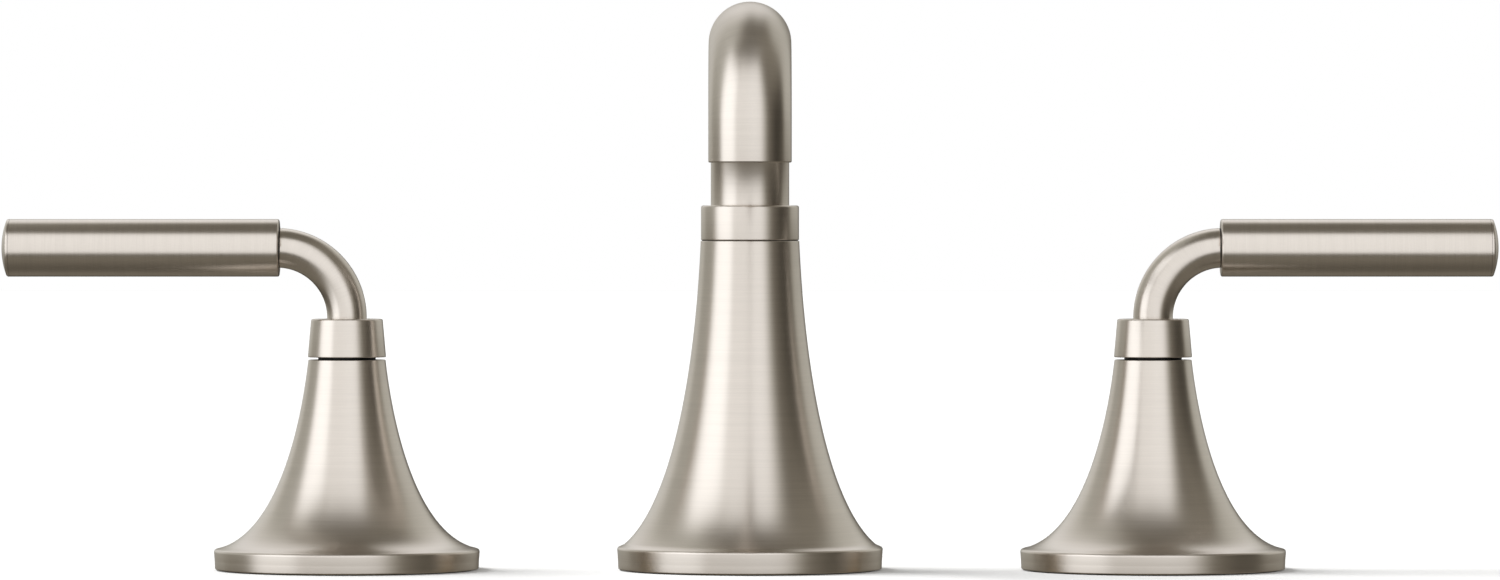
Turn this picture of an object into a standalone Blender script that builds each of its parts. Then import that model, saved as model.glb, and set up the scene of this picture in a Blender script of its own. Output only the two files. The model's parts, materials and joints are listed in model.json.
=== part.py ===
"""Widespread basin faucet: an arched swivel spout, two lever handles and the hardware under the deck.

All sizes are in millimetres, and the mesh functions turn them into Blender's metres.
The origin is the middle of the spout's foot on the deck. +X is to the right, -Y towards the user and +Z up.
The hot handle is on the left and the cold handle on the right.
"""
import math

import bmesh
import bpy
from mathutils import Vector

MM = 0.001

# Driving dimensions of the set.
CENTRES = 203.2          # hot handle axis to cold handle axis, the 8 inch standard
REACH = 130.0            # spout axis to the middle of the outlet
DECK = 25.0              # thickness of the deck that the set is clamped to
GAP = 0.3                # play between pieces that touch

# Flange that all three escutcheons share.
FLANGE_R = 33.5
FLANGE_FOOT_R = 33.2
FLANGE_FOOT_Z = 0.3
FLANGE_EDGE = 1.1        # radius of the rounded upper edge
RECESS_R = 32.2
RECESS_Z = 1.3
FLANGE_BORE_R = 21.0

# Trumpet of the spout: the four points (radius, height) of its curve.
SPOUT_TRUMPET = ((12.43, 82.6), (14.15, 44.96), (20.96, 14.99), (32.3, 6.4))
SPOUT_BASE_TOP = 82.9
# Trumpet of a handle.
HANDLE_TRUMPET = ((9.75, 52.7), (11.96, 33.5), (18.45, 9.2), (32.3, 5.7))
HANDLE_CONE_TOP = 53.0

# Spout tube.
TUBE_R = 9.875
TUBE_BORE_R = 8.5
TUBE_FOOT = 52.0
TUBE_TOP_AXIS = 130.85   # height of the tube's axis along its level run
REAR_BEND = 38.3         # radius at the tube's axis, from the collar up into the level run
FRONT_BEND = 20.0        # and from there down to the outlet
OUTLET_Z = 102.2
MOUTH_R = 9.0            # socket that holds the aerator
MOUTH_DEPTH = 8.0
CLIP_GROOVE_R = 9.2
CLIP_GROOVE = (52.7, 54.3)
CLIP_R = 11.3
CLIP_OPENING = (6.0, 6.0, 4.0)
CLIP_OPENING_Y = 10.4

# Collar on the spout tube.
COLLAR_R = 12.35
COLLAR_BORE_R = TUBE_R + GAP
COLLAR_FOOT = 83.3
COLLAR_TOP = 91.9
COLLAR_EDGE = 0.55

# Inside of the spout base.
GUIDE_BORE_R = 10.6
BUSHING_SEAT_R = 11.9
BUSHING_SEAT = (50.0, 68.3)
BUSHING_FOOT = 55.0
THRUST_WASHER_R = 10.3   # its bore
SHANK_HEAD_SEAT_R = 12.6
SHANK_HEAD_SEAT_FOOT = 34.0
WASHER_SEAT_R = 11.7
WASHER_SEAT_Z = 81.9

# Spout shank: the post inside the tube, the threaded head in the base and the threaded tail under the deck.
SHANK_BORE_R = 4.5
POST_R = 7.6
POST_TOP = 76.0
POST_GROOVE_R = 6.1
POST_GROOVES = ((63.4, 65.8), (70.4, 72.8))
HEAD_R = 12.3
HEAD = (34.3, 46.0)
SHANK_R = 10.45
SHANK_FOOT = -60.0
O_RING_R = 7.25          # to the middle of the ring's own thickness
O_RING_THICK_R = 0.85

# Aerator.
AERATOR_R = 8.7
AERATOR_BORE_R = 7.9
AERATOR_LIP_R = 6.9
AERATOR = (102.7, 108.5)
INSERT_R = 7.6
INSERT = (103.8, 107.9)
INSERT_HOLE_R = 1.1
INSERT_HOLE_RING_R = 4.6
INSERT_HOLES = 6
AERATOR_WASHER_R = (6.4, 8.6)

# Tee under the spout.
TEE_R = 13.5
TEE_TOP = -46.0
TEE_FOOT = -76.0
TEE_SOCKET_R = SHANK_R + GAP
TEE_CHAMBER_R = 6.0
TEE_CHAMBER_FOOT = -73.0
TEE_PORT_Z = -68.0

# Valve body of a handle.
VALVE_R = 12.0
VALVE_TOP = 12.0
SOCKET_R = 9.9
SOCKET_FOOT = -14.3
VALVE_LOWER_R = 13.5
VALVE_LOWER_TOP = -42.0
VALVE_LOWER_FOOT = -56.0
INLET_R = 10.4           # half inch male thread
INLET_FOOT = -70.0
PASSAGE_R = 2.9
PASSAGE_OFFSET = 4.6     # the inlet and outlet passages lie side by side in the shank
VALVE_PORT_Z = -49.0
PORT_R = 6.6             # three eighths inch male thread, on the valves and the tee
PORT_START = 8.0         # inside the body, from its axis
PORT_REACH = 27.0
PORT_BORE_R = 3.6
PORT_BORE_START = 3.0

# Cartridge, its neck and the spindle in it.
CARTRIDGE_R = 9.6
CARTRIDGE = (-13.0, 12.3)
CHAMBER_R = 8.0
CHAMBER_ROOF = 8.0
NECK_R = 6.5
NECK_TOP = 26.0
SPINDLE_BORE_R = 4.5
WINDOW = (24.0, 5.0, 6.0)
WINDOW_Z = 3.0
SPINDLE_R = 4.1
SPLINE_R = 3.8
SPLINE_FOOT = 42.0
SPINDLE_TOP = 56.0
CARRIER_R = 7.6
CARRIER = (1.5, 5.0)
SPINDLE_GROOVE_R = 2.9
SPINDLE_GROOVE = (18.4, 20.2)
SPINDLE_RING_R = 3.75
SPINDLE_RING_THICK_R = 0.5
DISC_R = 7.6
DISC_HOLE_R = 2.0
DISC_HOLE_OFFSET = 4.0
DISC_CENTRE_R = 0.8      # hole in the middle of a disc
FIXED_DISC = (-4.3, -1.8)
MOVING_DISC = (-1.5, 1.2)
SEAT_SEAL_R = 7.2
SEAT_SEAL = (-14.0, -4.6)

# Hardware that clamps a piece to the deck: outer radius of the washers and half width of the nut.
SPOUT_CLAMP = (20.0, 15.0)
HANDLE_CLAMP = (21.0, 17.0)
RUBBER_THICK = 3.0
STEEL_THICK = 1.5
NUT_THICK = 7.9
UPPER_NUT = (0.0, 6.0)

# Bonnet nut over the valve body's top.
BONNET_FLAT = 14.0
BONNET_THREAD_R = VALVE_R + GAP
BONNET_FOOT = 6.6
BONNET_ROOF = 12.7
BONNET_TOP = 16.3
BONNET_HOLE_R = NECK_R + GAP

# Inside of a handle's escutcheon, from its foot to its top: (radius, height).
HANDLE_HOLLOW = ((17.9, 13.0), (16.9, 17.2), (12.4, 28.0), (9.9, 38.0), (8.0, 46.0))
HANDLE_HOLLOW_TOP_R = 8.0
HOLLOW_SHOULDER = 6.6

# Hub, its insert and the set screw between them.
HUB_FOOT = 53.65
HUB_TOP = 63.3
HUB_FOOT_R = 9.85
HUB_TOP_R = 9.0
HUB_EDGE = 0.5
HUB_SOCKET_R = 7.55
HUB_SOCKET_TOP = 58.9
ARM_SOCKET_R = 5.3
HUB_INSERT_R = 7.25
HUB_INSERT = (47.5, 58.6)
HUB_INSERT_BORE_R = 4.1
HUB_INSERT_BORE_TOP = 56.3
SET_SCREW_R = 1.5
SET_SCREW_Z = 56.2
SET_SCREW = (5.7, 9.1)   # from the handle's axis, along +Y
SET_SCREW_SOCKET_R = 0.8
SET_SCREW_SOCKET_FLOOR = 7.4
SET_SCREW_HOLE_R = SET_SCREW_R + GAP

# Lever: the bent arm, the grip on it and the grip's domed cap. Lengths run from the handle's axis.
ARM_R = 5.0
ARM_FOOT = 59.2
ARM_BEND = 17.6
LEVER_Z = 81.2
ARM_END = 31.0
GRIP_R = 7.25
GRIP = (17.05, 84.95)
GRIP_EDGE = 0.45
GRIP_BORE_R = ARM_R + GAP
GRIP_BORE_END = 32.0
ARM_GROOVE_R = 4.0       # holds the black ring that shows between the arm and the grip
ARM_GROOVE = (16.4, 17.7)
REVEAL_RING_R = (4.4, 4.9)
REVEAL_RING = (16.7, 17.4)
CAP_R = GRIP_R
CAP_EDGE = 0.55
CAP_DOME_R = 20.0
CAP_TIP = 87.05
CAP_SPIGOT_R = 4.6
CAP_SOCKET_R = CAP_SPIGOT_R + GAP
CAP_SPIGOT_END = 80.3
CAP_SOCKET_END = 80.0

# Facets round a piece: large shown pieces, small shown pieces and hidden ones.
FINE = 32
MEDIUM = 20
PLAIN = 14
HEXAGONAL = 24
SMALL_HOLE = 8
PORT_SIDES = 12
REAR_STEPS = 12
FRONT_STEPS = 8
ARM_STEPS = 6
TRUMPET_STEPS = 8
O_RING_STEPS = 6
DOME_STEPS = 4
SMOOTH_ANGLE = math.radians(35)

# Looks: colour, roughness and metallic value.
NICKEL = ((0.69, 0.62, 0.55), 0.30, 1.0)
BRASS = ((0.71, 0.54, 0.25), 0.38, 1.0)
STEEL = ((0.58, 0.58, 0.60), 0.35, 1.0)
RUBBER = ((0.03, 0.03, 0.03), 0.85, 0.0)
BLACK_PLASTIC = ((0.02, 0.02, 0.022), 0.5, 0.0)
NYLON = ((0.82, 0.80, 0.74), 0.55, 0.0)
CERAMIC = ((0.90, 0.89, 0.86), 0.2, 0.0)

UP = Vector((0, 0, 1))


def clear_scene():
    for obj in list(bpy.data.objects):
        bpy.data.objects.remove(obj, do_unlink=True)


def material(name, look):
    colour, roughness, metallic = look
    made = bpy.data.materials.new(name)
    made.use_nodes = True
    shader = made.node_tree.nodes["Principled BSDF"]
    shader.inputs["Base Color"].default_value = (*colour, 1)
    shader.inputs["Roughness"].default_value = roughness
    shader.inputs["Metallic"].default_value = metallic
    return made


def empty(name, place):
    obj = bpy.data.objects.new(name, None)
    obj.empty_display_size = 20 * MM
    obj.location = Vector(place) * MM
    bpy.context.collection.objects.link(obj)
    return obj


def hexagon(angle):
    """How much further out a hexagon's side lies than its flats, at an angle."""
    sector = math.radians(60)
    return 1 / math.cos((angle + sector / 2) % sector - sector / 2)


def round_shape(angle):
    return 1


def ring_points(centre, direction, across, radius, sides, shape):
    """Corners of one ring about a centre, square to a direction. The first one lies across from the centre."""
    along = direction.cross(across)
    points = []
    for i in range(sides):
        angle = 2 * math.pi * i / sides
        out = radius * shape(angle)
        points.append((centre + across * out * math.cos(angle) + along * out * math.sin(angle)) * MM)
    return points


def skin(name, rings, sides, look, closed):
    """A solid from a row of rings (centre, direction, radius, shape). A ring of no radius is a single corner.
    A closed row ends where it starts, as a tube's outer and inner walls do."""
    made = bmesh.new()
    rows = []
    # Every ring starts on the same side of the piece, so that the walls between them don't twist.
    leans = any(abs(direction.x) > 1e-6 for centre, direction, radius, shape in rings)
    across = Vector((0, 1, 0)) if leans else Vector((1, 0, 0))
    for centre, direction, radius, shape in rings:
        if radius == 0:
            rows.append([made.verts.new(centre * MM)])
        else:
            points = ring_points(centre, direction, across, radius, sides, shape)
            rows.append([made.verts.new(p) for p in points])
    pairs = list(zip(rows, rows[1:]))
    if closed:
        pairs.append((rows[-1], rows[0]))
    for low, high in pairs:
        for i in range(sides):
            k = (i + 1) % sides
            corners = [low[i % len(low)], low[k % len(low)], high[k % len(high)], high[i % len(high)]]
            made.faces.new(list(dict.fromkeys(corners)))
    bmesh.ops.recalc_face_normals(made, faces=made.faces)
    return object_from(name, made, look)


def object_from(name, made, look):
    mesh = bpy.data.meshes.new(name)
    made.to_mesh(mesh)
    made.free()
    mesh.shade_smooth()
    mesh.set_sharp_from_angle(angle=SMOOTH_ANGLE)
    mesh.materials.append(material(name, look))
    obj = bpy.data.objects.new(name, mesh)
    bpy.context.collection.objects.link(obj)
    return obj


def turned(name, outline, look, sides=PLAIN, shape=round_shape):
    """A turned solid from (radius, height) points. It has a bore unless both ends lie on the axis."""
    rings = [(UP * height, UP, radius, shape) for radius, height in outline]
    solid = outline[0][0] == 0 and outline[-1][0] == 0
    return skin(name, rings, sides, look, closed=not solid)


def washer(name, inner, outer, foot, top, look, sides=PLAIN):
    return turned(name, [(inner, foot), (outer, foot), (outer, top), (inner, top)], look, sides)


def hexagon_nut(name, bore, flat, foot, top, look):
    """A nut: a round bore in a hexagon, made of rings that are round inside and six-sided outside."""
    rings = [
        (UP * foot, UP, bore, round_shape),
        (UP * foot, UP, flat, hexagon),
        (UP * top, UP, flat, hexagon),
        (UP * top, UP, bore, round_shape),
    ]
    return skin(name, rings, HEXAGONAL, look, closed=True)


def o_ring(name, radius, thickness, height, look, sides=PLAIN):
    outline = []
    for i in range(O_RING_STEPS):
        angle = 2 * math.pi * i / O_RING_STEPS
        outline.append((radius + thickness * math.cos(angle), height + thickness * math.sin(angle)))
    return turned(name, outline, look, sides)


def round_bar(name, radius, start, end, sides=PLAIN):
    """A plain bar along its own Z, used to cut holes and to add branches."""
    return turned(name, [(0, start), (radius, start), (radius, end), (0, end)], BRASS, sides)


def block(name, size, look):
    """A box of (x, y, z) size about its own middle, used to cut openings."""
    made = bmesh.new()
    bmesh.ops.create_cube(made, size=1)
    bmesh.ops.scale(made, verts=made.verts, vec=Vector(size) * MM)
    return object_from(name, made, look)


def tool(obj):
    """Marks an object that only shapes another one."""
    obj.hide_render = True
    obj.display_type = "WIRE"
    return obj


def shape_with(obj, other, operation):
    modifier = obj.modifiers.new(f"{operation.lower()} {other.name}", "BOOLEAN")
    modifier.operation = operation
    modifier.object = tool(other)


def place(obj, location, rotation=(0, 0, 0), parent=None):
    obj.location = Vector(location) * MM
    obj.rotation_euler = rotation
    obj.parent = parent
    return obj


def curve_points(points, steps):
    """Points along a cubic curve of four (radius, height) points, with both ends."""
    a, b, c, d = (Vector(p) for p in points)
    found = []
    for i in range(steps + 1):
        t = i / steps
        u = 1 - t
        found.append(tuple(a * u**3 + b * 3 * u * u * t + c * 3 * u * t * t + d * t**3))
    return found


def trumpet_outline(curve, top):
    """Outer side of an escutcheon from its top edge down to the gasket's recess."""
    outline = [(curve[0][0] - 0.3, top)]
    outline += curve_points(curve, TRUMPET_STEPS)
    outline += [
        (FLANGE_R - 0.35 * FLANGE_EDGE, curve[3][1] - 0.35 * FLANGE_EDGE),
        (FLANGE_R, curve[3][1] - 1.4 * FLANGE_EDGE),
        (FLANGE_FOOT_R, FLANGE_FOOT_Z + 0.4),
        (FLANGE_FOOT_R - 0.4, FLANGE_FOOT_Z),
        (RECESS_R, FLANGE_FOOT_Z),
        (RECESS_R, RECESS_Z),
        (FLANGE_BORE_R, RECESS_Z),
    ]
    return outline


def gasket(name):
    return washer(name, FLANGE_BORE_R + 1, RECESS_R - 0.4, 0, RECESS_Z - GAP, RUBBER, MEDIUM)


def clamp_hardware(prefix, thread_r, clamp, x):
    """Rubber washer, steel washer and nut that clamp the set to the deck from below."""
    washer_r, nut_flat = clamp
    bore = thread_r + GAP
    rubber_foot = -DECK - RUBBER_THICK
    steel_top = rubber_foot - GAP
    steel_foot = steel_top - STEEL_THICK
    nut_top = steel_foot - GAP
    rubber = washer(f"{prefix}_rubber_washer", bore, washer_r, rubber_foot, -DECK, RUBBER, MEDIUM)
    steel = washer(f"{prefix}_steel_washer", bore, washer_r, steel_foot, steel_top, STEEL, MEDIUM)
    nut = hexagon_nut(f"{prefix}_mounting_nut", bore, nut_flat, nut_top - NUT_THICK, nut_top, BRASS)
    for obj in (rubber, steel, nut):
        place(obj, (x, 0, 0))


def side_port(body, prefix, x, height, towards):
    """A threaded branch on a body's side. Its bore is cut later."""
    quarter = (0, towards * math.pi / 2, 0)
    branch = round_bar(f"{prefix}_branch", PORT_R, PORT_START, PORT_REACH)
    place(branch, (x, 0, height), quarter)
    shape_with(body, branch, "UNION")
    return quarter


def side_port_bore(body, prefix, x, height, quarter):
    bore = round_bar(f"{prefix}_branch_bore", PORT_BORE_R, PORT_BORE_START, PORT_REACH + 5, PORT_SIDES)
    place(bore, (x, 0, height), quarter)
    shape_with(body, bore, "DIFFERENCE")


# Spout.

def spout_base():
    outline = trumpet_outline(SPOUT_TRUMPET, SPOUT_BASE_TOP)
    outline += [
        (FLANGE_BORE_R, HOLLOW_SHOULDER),
        (16.5, 22.0),
        (SHANK_HEAD_SEAT_R, SHANK_HEAD_SEAT_FOOT),
        (SHANK_HEAD_SEAT_R, BUSHING_SEAT[0]),
        (BUSHING_SEAT_R, BUSHING_SEAT[0]),
        (BUSHING_SEAT_R, BUSHING_SEAT[1]),
        (GUIDE_BORE_R, BUSHING_SEAT[1]),
        (GUIDE_BORE_R, WASHER_SEAT_Z),
        (WASHER_SEAT_R, WASHER_SEAT_Z),
        (WASHER_SEAT_R, SPOUT_BASE_TOP),
    ]
    turned("spout_base", outline, NICKEL, FINE)
    gasket("spout_base_gasket")


def spout_shank():
    outline = [(SHANK_BORE_R, SHANK_FOOT), (SHANK_R, SHANK_FOOT), (SHANK_R, HEAD[0]), (HEAD_R, HEAD[0]),
               (HEAD_R, HEAD[1]), (POST_R, HEAD[1])]
    for low, high in POST_GROOVES:
        outline += [(POST_R, low), (POST_GROOVE_R, low), (POST_GROOVE_R, high), (POST_R, high)]
    outline += [(POST_R, POST_TOP), (SHANK_BORE_R, POST_TOP)]
    turned("spout_shank", outline, BRASS)
    for name, (low, high) in zip(("spout_o_ring_lower", "spout_o_ring_upper"), POST_GROOVES):
        o_ring(name, O_RING_R, O_RING_THICK_R, (low + high) / 2, RUBBER)


def spout_route():
    """Middle line of the spout tube past its straight foot: (point, direction), bend by bend."""
    route = []
    rear = (Vector((0, -REAR_BEND, TUBE_TOP_AXIS - REAR_BEND)), REAR_BEND, 0.0, REAR_STEPS)
    corner = Vector((0, FRONT_BEND - REACH, TUBE_TOP_AXIS - FRONT_BEND))
    front = (corner, FRONT_BEND, math.pi / 2, FRONT_STEPS)
    for centre, bend, start, steps in (rear, front):
        for i in range(steps + 1):
            angle = start + math.pi / 2 * i / steps
            out = Vector((0, math.cos(angle), math.sin(angle)))
            ahead = Vector((0, -math.sin(angle), math.cos(angle)))
            route.append((centre + out * bend, ahead))
    return route


def spout_tube(axis):
    route = spout_route()
    down = -UP
    mouth = Vector((0, -REACH, OUTLET_Z))
    low, high = CLIP_GROOVE
    outer = [(UP * TUBE_FOOT, UP, TUBE_R), (UP * low, UP, TUBE_R), (UP * low, UP, CLIP_GROOVE_R),
             (UP * high, UP, CLIP_GROOVE_R), (UP * high, UP, TUBE_R)]
    outer += [(point, ahead, TUBE_R) for point, ahead in route]
    outer += [(mouth + UP * 0.4, down, TUBE_R), (mouth, down, TUBE_R - 0.4)]
    step = mouth + UP * MOUTH_DEPTH
    inner = [(mouth, down, MOUTH_R), (step, down, MOUTH_R), (step, down, TUBE_BORE_R)]
    inner += [(point, ahead, TUBE_BORE_R) for point, ahead in reversed(route)]
    inner += [(UP * TUBE_FOOT, UP, TUBE_BORE_R)]
    rings = [(*ring, round_shape) for ring in outer + inner]
    place(skin("spout_tube", rings, MEDIUM, NICKEL, closed=True), (0, 0, 0), parent=axis)


def spout_fittings(axis):
    """Collar, clip, bushing and washer round the foot of the spout tube."""
    outline = [
        (COLLAR_BORE_R, COLLAR_FOOT),
        (COLLAR_R - COLLAR_EDGE / 2, COLLAR_FOOT),
        (COLLAR_R, COLLAR_FOOT + COLLAR_EDGE / 2),
        (COLLAR_R, COLLAR_TOP - COLLAR_EDGE),
        (COLLAR_R - COLLAR_EDGE, COLLAR_TOP),
        (COLLAR_BORE_R, COLLAR_TOP),
    ]
    place(turned("spout_collar", outline, NICKEL, FINE), (0, 0, 0), parent=axis)
    low, high = CLIP_GROOVE
    clip = washer("spout_retaining_clip", CLIP_GROOVE_R + GAP, CLIP_R, low + GAP, high - GAP, STEEL)
    place(clip, (0, 0, 0), parent=axis)
    opening = block("clip_opening", CLIP_OPENING, STEEL)
    place(opening, (0, CLIP_OPENING_Y, (low + high) / 2), parent=axis)
    shape_with(clip, opening, "DIFFERENCE")
    bushing_r = BUSHING_SEAT_R - GAP
    bushing_top = BUSHING_SEAT[1] - GAP
    washer("spout_swivel_bushing", TUBE_R + GAP, bushing_r, BUSHING_FOOT, bushing_top, NYLON, MEDIUM)
    washer_r = WASHER_SEAT_R - GAP
    foot = WASHER_SEAT_Z + GAP
    washer("spout_thrust_washer", THRUST_WASHER_R, washer_r, foot, COLLAR_FOOT - GAP, BLACK_PLASTIC, MEDIUM)


def aerator(axis):
    """Threaded housing, its insert with water holes, and the washer above them."""
    foot, top = AERATOR
    ledge = INSERT[0] - GAP
    outline = [(AERATOR_LIP_R, foot), (AERATOR_R, foot), (AERATOR_R, top)]
    outline += [(AERATOR_BORE_R, top), (AERATOR_BORE_R, ledge), (AERATOR_LIP_R, ledge)]
    housing = turned("aerator_housing", outline, NICKEL, MEDIUM)
    insert = washer("aerator_insert", INSERT_HOLE_R, INSERT_R, INSERT[0], INSERT[1], NYLON, MEDIUM)
    seal_top = OUTLET_Z + MOUTH_DEPTH - GAP
    seal = washer("aerator_washer", *AERATOR_WASHER_R, AERATOR[1] + GAP, seal_top, RUBBER)
    for obj in (housing, insert, seal):
        place(obj, (0, -REACH, 0), parent=axis)
    for i in range(INSERT_HOLES):
        angle = 2 * math.pi * (i + 0.3) / INSERT_HOLES
        x = INSERT_HOLE_RING_R * math.cos(angle)
        y = INSERT_HOLE_RING_R * math.sin(angle)
        hole = round_bar(f"aerator_hole_{i}", INSERT_HOLE_R, INSERT[0] - 2, INSERT[1] + 2, SMALL_HOLE)
        place(hole, (x, y - REACH, 0), parent=axis)
        shape_with(insert, hole, "DIFFERENCE")


def spout_tee():
    outline = [
        (0, TEE_FOOT),
        (TEE_R, TEE_FOOT),
        (TEE_R, TEE_TOP),
        (TEE_SOCKET_R, TEE_TOP),
        (TEE_SOCKET_R, SHANK_FOOT - GAP),
        (TEE_CHAMBER_R, SHANK_FOOT - GAP),
        (TEE_CHAMBER_R, TEE_CHAMBER_FOOT),
        (0, TEE_CHAMBER_FOOT),
    ]
    body = turned("spout_tee", outline, BRASS, MEDIUM)
    quarters = {}
    for word, towards in (("hot", -1), ("cold", 1)):
        quarters[word] = side_port(body, f"tee_{word}", 0, TEE_PORT_Z, towards)
    for word, quarter in quarters.items():
        side_port_bore(body, f"tee_{word}", 0, TEE_PORT_Z, quarter)


def spout():
    axis = empty("spout_axis", (0, 0, 0))
    spout_base()
    spout_shank()
    spout_tube(axis)
    spout_fittings(axis)
    aerator(axis)
    clamp_hardware("spout", SHANK_R, SPOUT_CLAMP, 0)
    spout_tee()


# Handles.

def handle_escutcheon(prefix, x):
    outline = trumpet_outline(HANDLE_TRUMPET, HANDLE_CONE_TOP)
    outline += [(FLANGE_BORE_R, HOLLOW_SHOULDER), *HANDLE_HOLLOW, (HANDLE_HOLLOW_TOP_R, HANDLE_CONE_TOP)]
    place(turned(f"{prefix}_escutcheon", outline, NICKEL, FINE), (x, 0, 0))
    place(gasket(f"{prefix}_escutcheon_gasket"), (x, 0, 0))


def valve_body(prefix, x, side):
    """Shank with a cartridge socket above, an inlet below, a side port and the two passages between them."""
    outline = [
        (0, INLET_FOOT),
        (INLET_R, INLET_FOOT),
        (INLET_R, VALVE_LOWER_FOOT),
        (VALVE_LOWER_R, VALVE_LOWER_FOOT),
        (VALVE_LOWER_R, VALVE_LOWER_TOP),
        (VALVE_R, VALVE_LOWER_TOP),
        (VALVE_R, VALVE_TOP),
        (SOCKET_R, VALVE_TOP),
        (SOCKET_R, SOCKET_FOOT),
        (0, SOCKET_FOOT),
    ]
    body = place(turned(f"{prefix}_valve_body", outline, BRASS, MEDIUM), (x, 0, 0))
    quarter = side_port(body, prefix, x, VALVE_PORT_Z, -side)
    inlet = round_bar(f"{prefix}_inlet_passage", PASSAGE_R, INLET_FOOT - 5, SOCKET_FOOT + 2, PORT_SIDES)
    place(inlet, (x + side * PASSAGE_OFFSET, 0, 0))
    outlet = round_bar(f"{prefix}_outlet_passage", PASSAGE_R, VALVE_PORT_Z - 1, SOCKET_FOOT + 2, PORT_SIDES)
    place(outlet, (x - side * PASSAGE_OFFSET, 0, 0))
    for passage in (inlet, outlet):
        shape_with(body, passage, "DIFFERENCE")
    side_port_bore(body, prefix, x, VALVE_PORT_Z, quarter)


def valve_nuts(prefix, x):
    upper = hexagon_nut(f"{prefix}_upper_nut", VALVE_R + GAP, HANDLE_CLAMP[1], *UPPER_NUT, BRASS)
    rings = [
        (UP * BONNET_FOOT, UP, BONNET_THREAD_R, round_shape),
        (UP * BONNET_FOOT, UP, BONNET_FLAT, hexagon),
        (UP * BONNET_TOP, UP, BONNET_FLAT, hexagon),
        (UP * BONNET_TOP, UP, BONNET_HOLE_R, round_shape),
        (UP * BONNET_ROOF, UP, BONNET_HOLE_R, round_shape),
        (UP * BONNET_ROOF, UP, BONNET_THREAD_R, round_shape),
    ]
    bonnet = skin(f"{prefix}_bonnet_nut", rings, HEXAGONAL, BRASS, closed=True)
    for obj in (upper, bonnet):
        place(obj, (x, 0, 0))


def cartridge(prefix, x):
    outline = [
        (CHAMBER_R, CARTRIDGE[0]),
        (CARTRIDGE_R, CARTRIDGE[0]),
        (CARTRIDGE_R, CARTRIDGE[1]),
        (NECK_R, CARTRIDGE[1]),
        (NECK_R, NECK_TOP),
        (SPINDLE_BORE_R, NECK_TOP),
        (SPINDLE_BORE_R, CHAMBER_ROOF),
        (CHAMBER_R, CHAMBER_ROOF),
    ]
    body = place(turned(f"{prefix}_cartridge", outline, BRASS), (x, 0, 0))
    window = place(block(f"{prefix}_cartridge_window", WINDOW, BRASS), (x, 0, WINDOW_Z))
    shape_with(body, window, "DIFFERENCE")
    place(washer(f"{prefix}_seat_seal", SEAT_SEAL_R, CHAMBER_R - GAP, *SEAT_SEAL, RUBBER), (x, 0, 0))


def disc(name, foot, top, x, parent):
    """A ceramic disc with two water holes. x is measured from its parent's axis where it has a parent."""
    made = washer(name, DISC_CENTRE_R, DISC_R, foot, top, CERAMIC)
    place(made, (x, 0, 0), parent=parent)
    for number, way in enumerate((-1, 1)):
        hole = round_bar(f"{name}_hole_{number}", DISC_HOLE_R, foot - 2, top + 2, SMALL_HOLE)
        place(hole, (x + way * DISC_HOLE_OFFSET, 0, 0), parent=parent)
        shape_with(made, hole, "DIFFERENCE")


def spindle(prefix, axis):
    low, high = SPINDLE_GROOVE
    outline = [
        (0, CARRIER[0]),
        (CARRIER_R, CARRIER[0]),
        (CARRIER_R, CARRIER[1]),
        (SPINDLE_R, CARRIER[1]),
        (SPINDLE_R, low),
        (SPINDLE_GROOVE_R, low),
        (SPINDLE_GROOVE_R, high),
        (SPINDLE_R, high),
        (SPINDLE_R, SPLINE_FOOT),
        (SPLINE_R, SPLINE_FOOT),
        (SPLINE_R, SPINDLE_TOP),
        (0, SPINDLE_TOP),
    ]
    stem = turned(f"{prefix}_spindle", outline, BRASS)
    ring = o_ring(f"{prefix}_spindle_o_ring", SPINDLE_RING_R, SPINDLE_RING_THICK_R, (low + high) / 2, RUBBER)
    for obj in (stem, ring):
        place(obj, (0, 0, 0), parent=axis)


def hub(prefix, axis):
    """Turned hub, the insert that joins it to the spindle, and the set screw at its back."""
    outline = [
        (HUB_SOCKET_R, HUB_FOOT),
        (HUB_FOOT_R - HUB_EDGE / 2, HUB_FOOT),
        (HUB_FOOT_R, HUB_FOOT + HUB_EDGE / 2),
        (HUB_TOP_R, HUB_TOP - HUB_EDGE),
        (HUB_TOP_R - HUB_EDGE, HUB_TOP),
        (ARM_SOCKET_R, HUB_TOP),
        (ARM_SOCKET_R, HUB_SOCKET_TOP),
        (HUB_SOCKET_R, HUB_SOCKET_TOP),
    ]
    body = turned(f"{prefix}_hub", outline, NICKEL, MEDIUM)
    insert = turned(f"{prefix}_hub_insert", [
        (0, HUB_INSERT[1]),
        (HUB_INSERT_R, HUB_INSERT[1]),
        (HUB_INSERT_R, HUB_INSERT[0]),
        (HUB_INSERT_BORE_R, HUB_INSERT[0]),
        (HUB_INSERT_BORE_R, HUB_INSERT_BORE_TOP),
        (0, HUB_INSERT_BORE_TOP),
    ], BLACK_PLASTIC, MEDIUM)
    backwards = (-math.pi / 2, 0, 0)
    screw = turned(f"{prefix}_set_screw", [
        (0, SET_SCREW[0]),
        (SET_SCREW_R, SET_SCREW[0]),
        (SET_SCREW_R, SET_SCREW[1]),
        (SET_SCREW_SOCKET_R, SET_SCREW[1]),
        (SET_SCREW_SOCKET_R, SET_SCREW_SOCKET_FLOOR),
        (0, SET_SCREW_SOCKET_FLOOR),
    ], STEEL, PORT_SIDES)
    hole = round_bar(f"{prefix}_set_screw_hole", SET_SCREW_HOLE_R, SET_SCREW[0] - GAP, 14.0, PORT_SIDES)
    for obj in (body, insert):
        place(obj, (0, 0, 0), parent=axis)
    for obj in (screw, hole):
        place(obj, (0, 0, SET_SCREW_Z), backwards, axis)
    for obj in (body, insert):
        shape_with(obj, hole, "DIFFERENCE")


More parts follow.
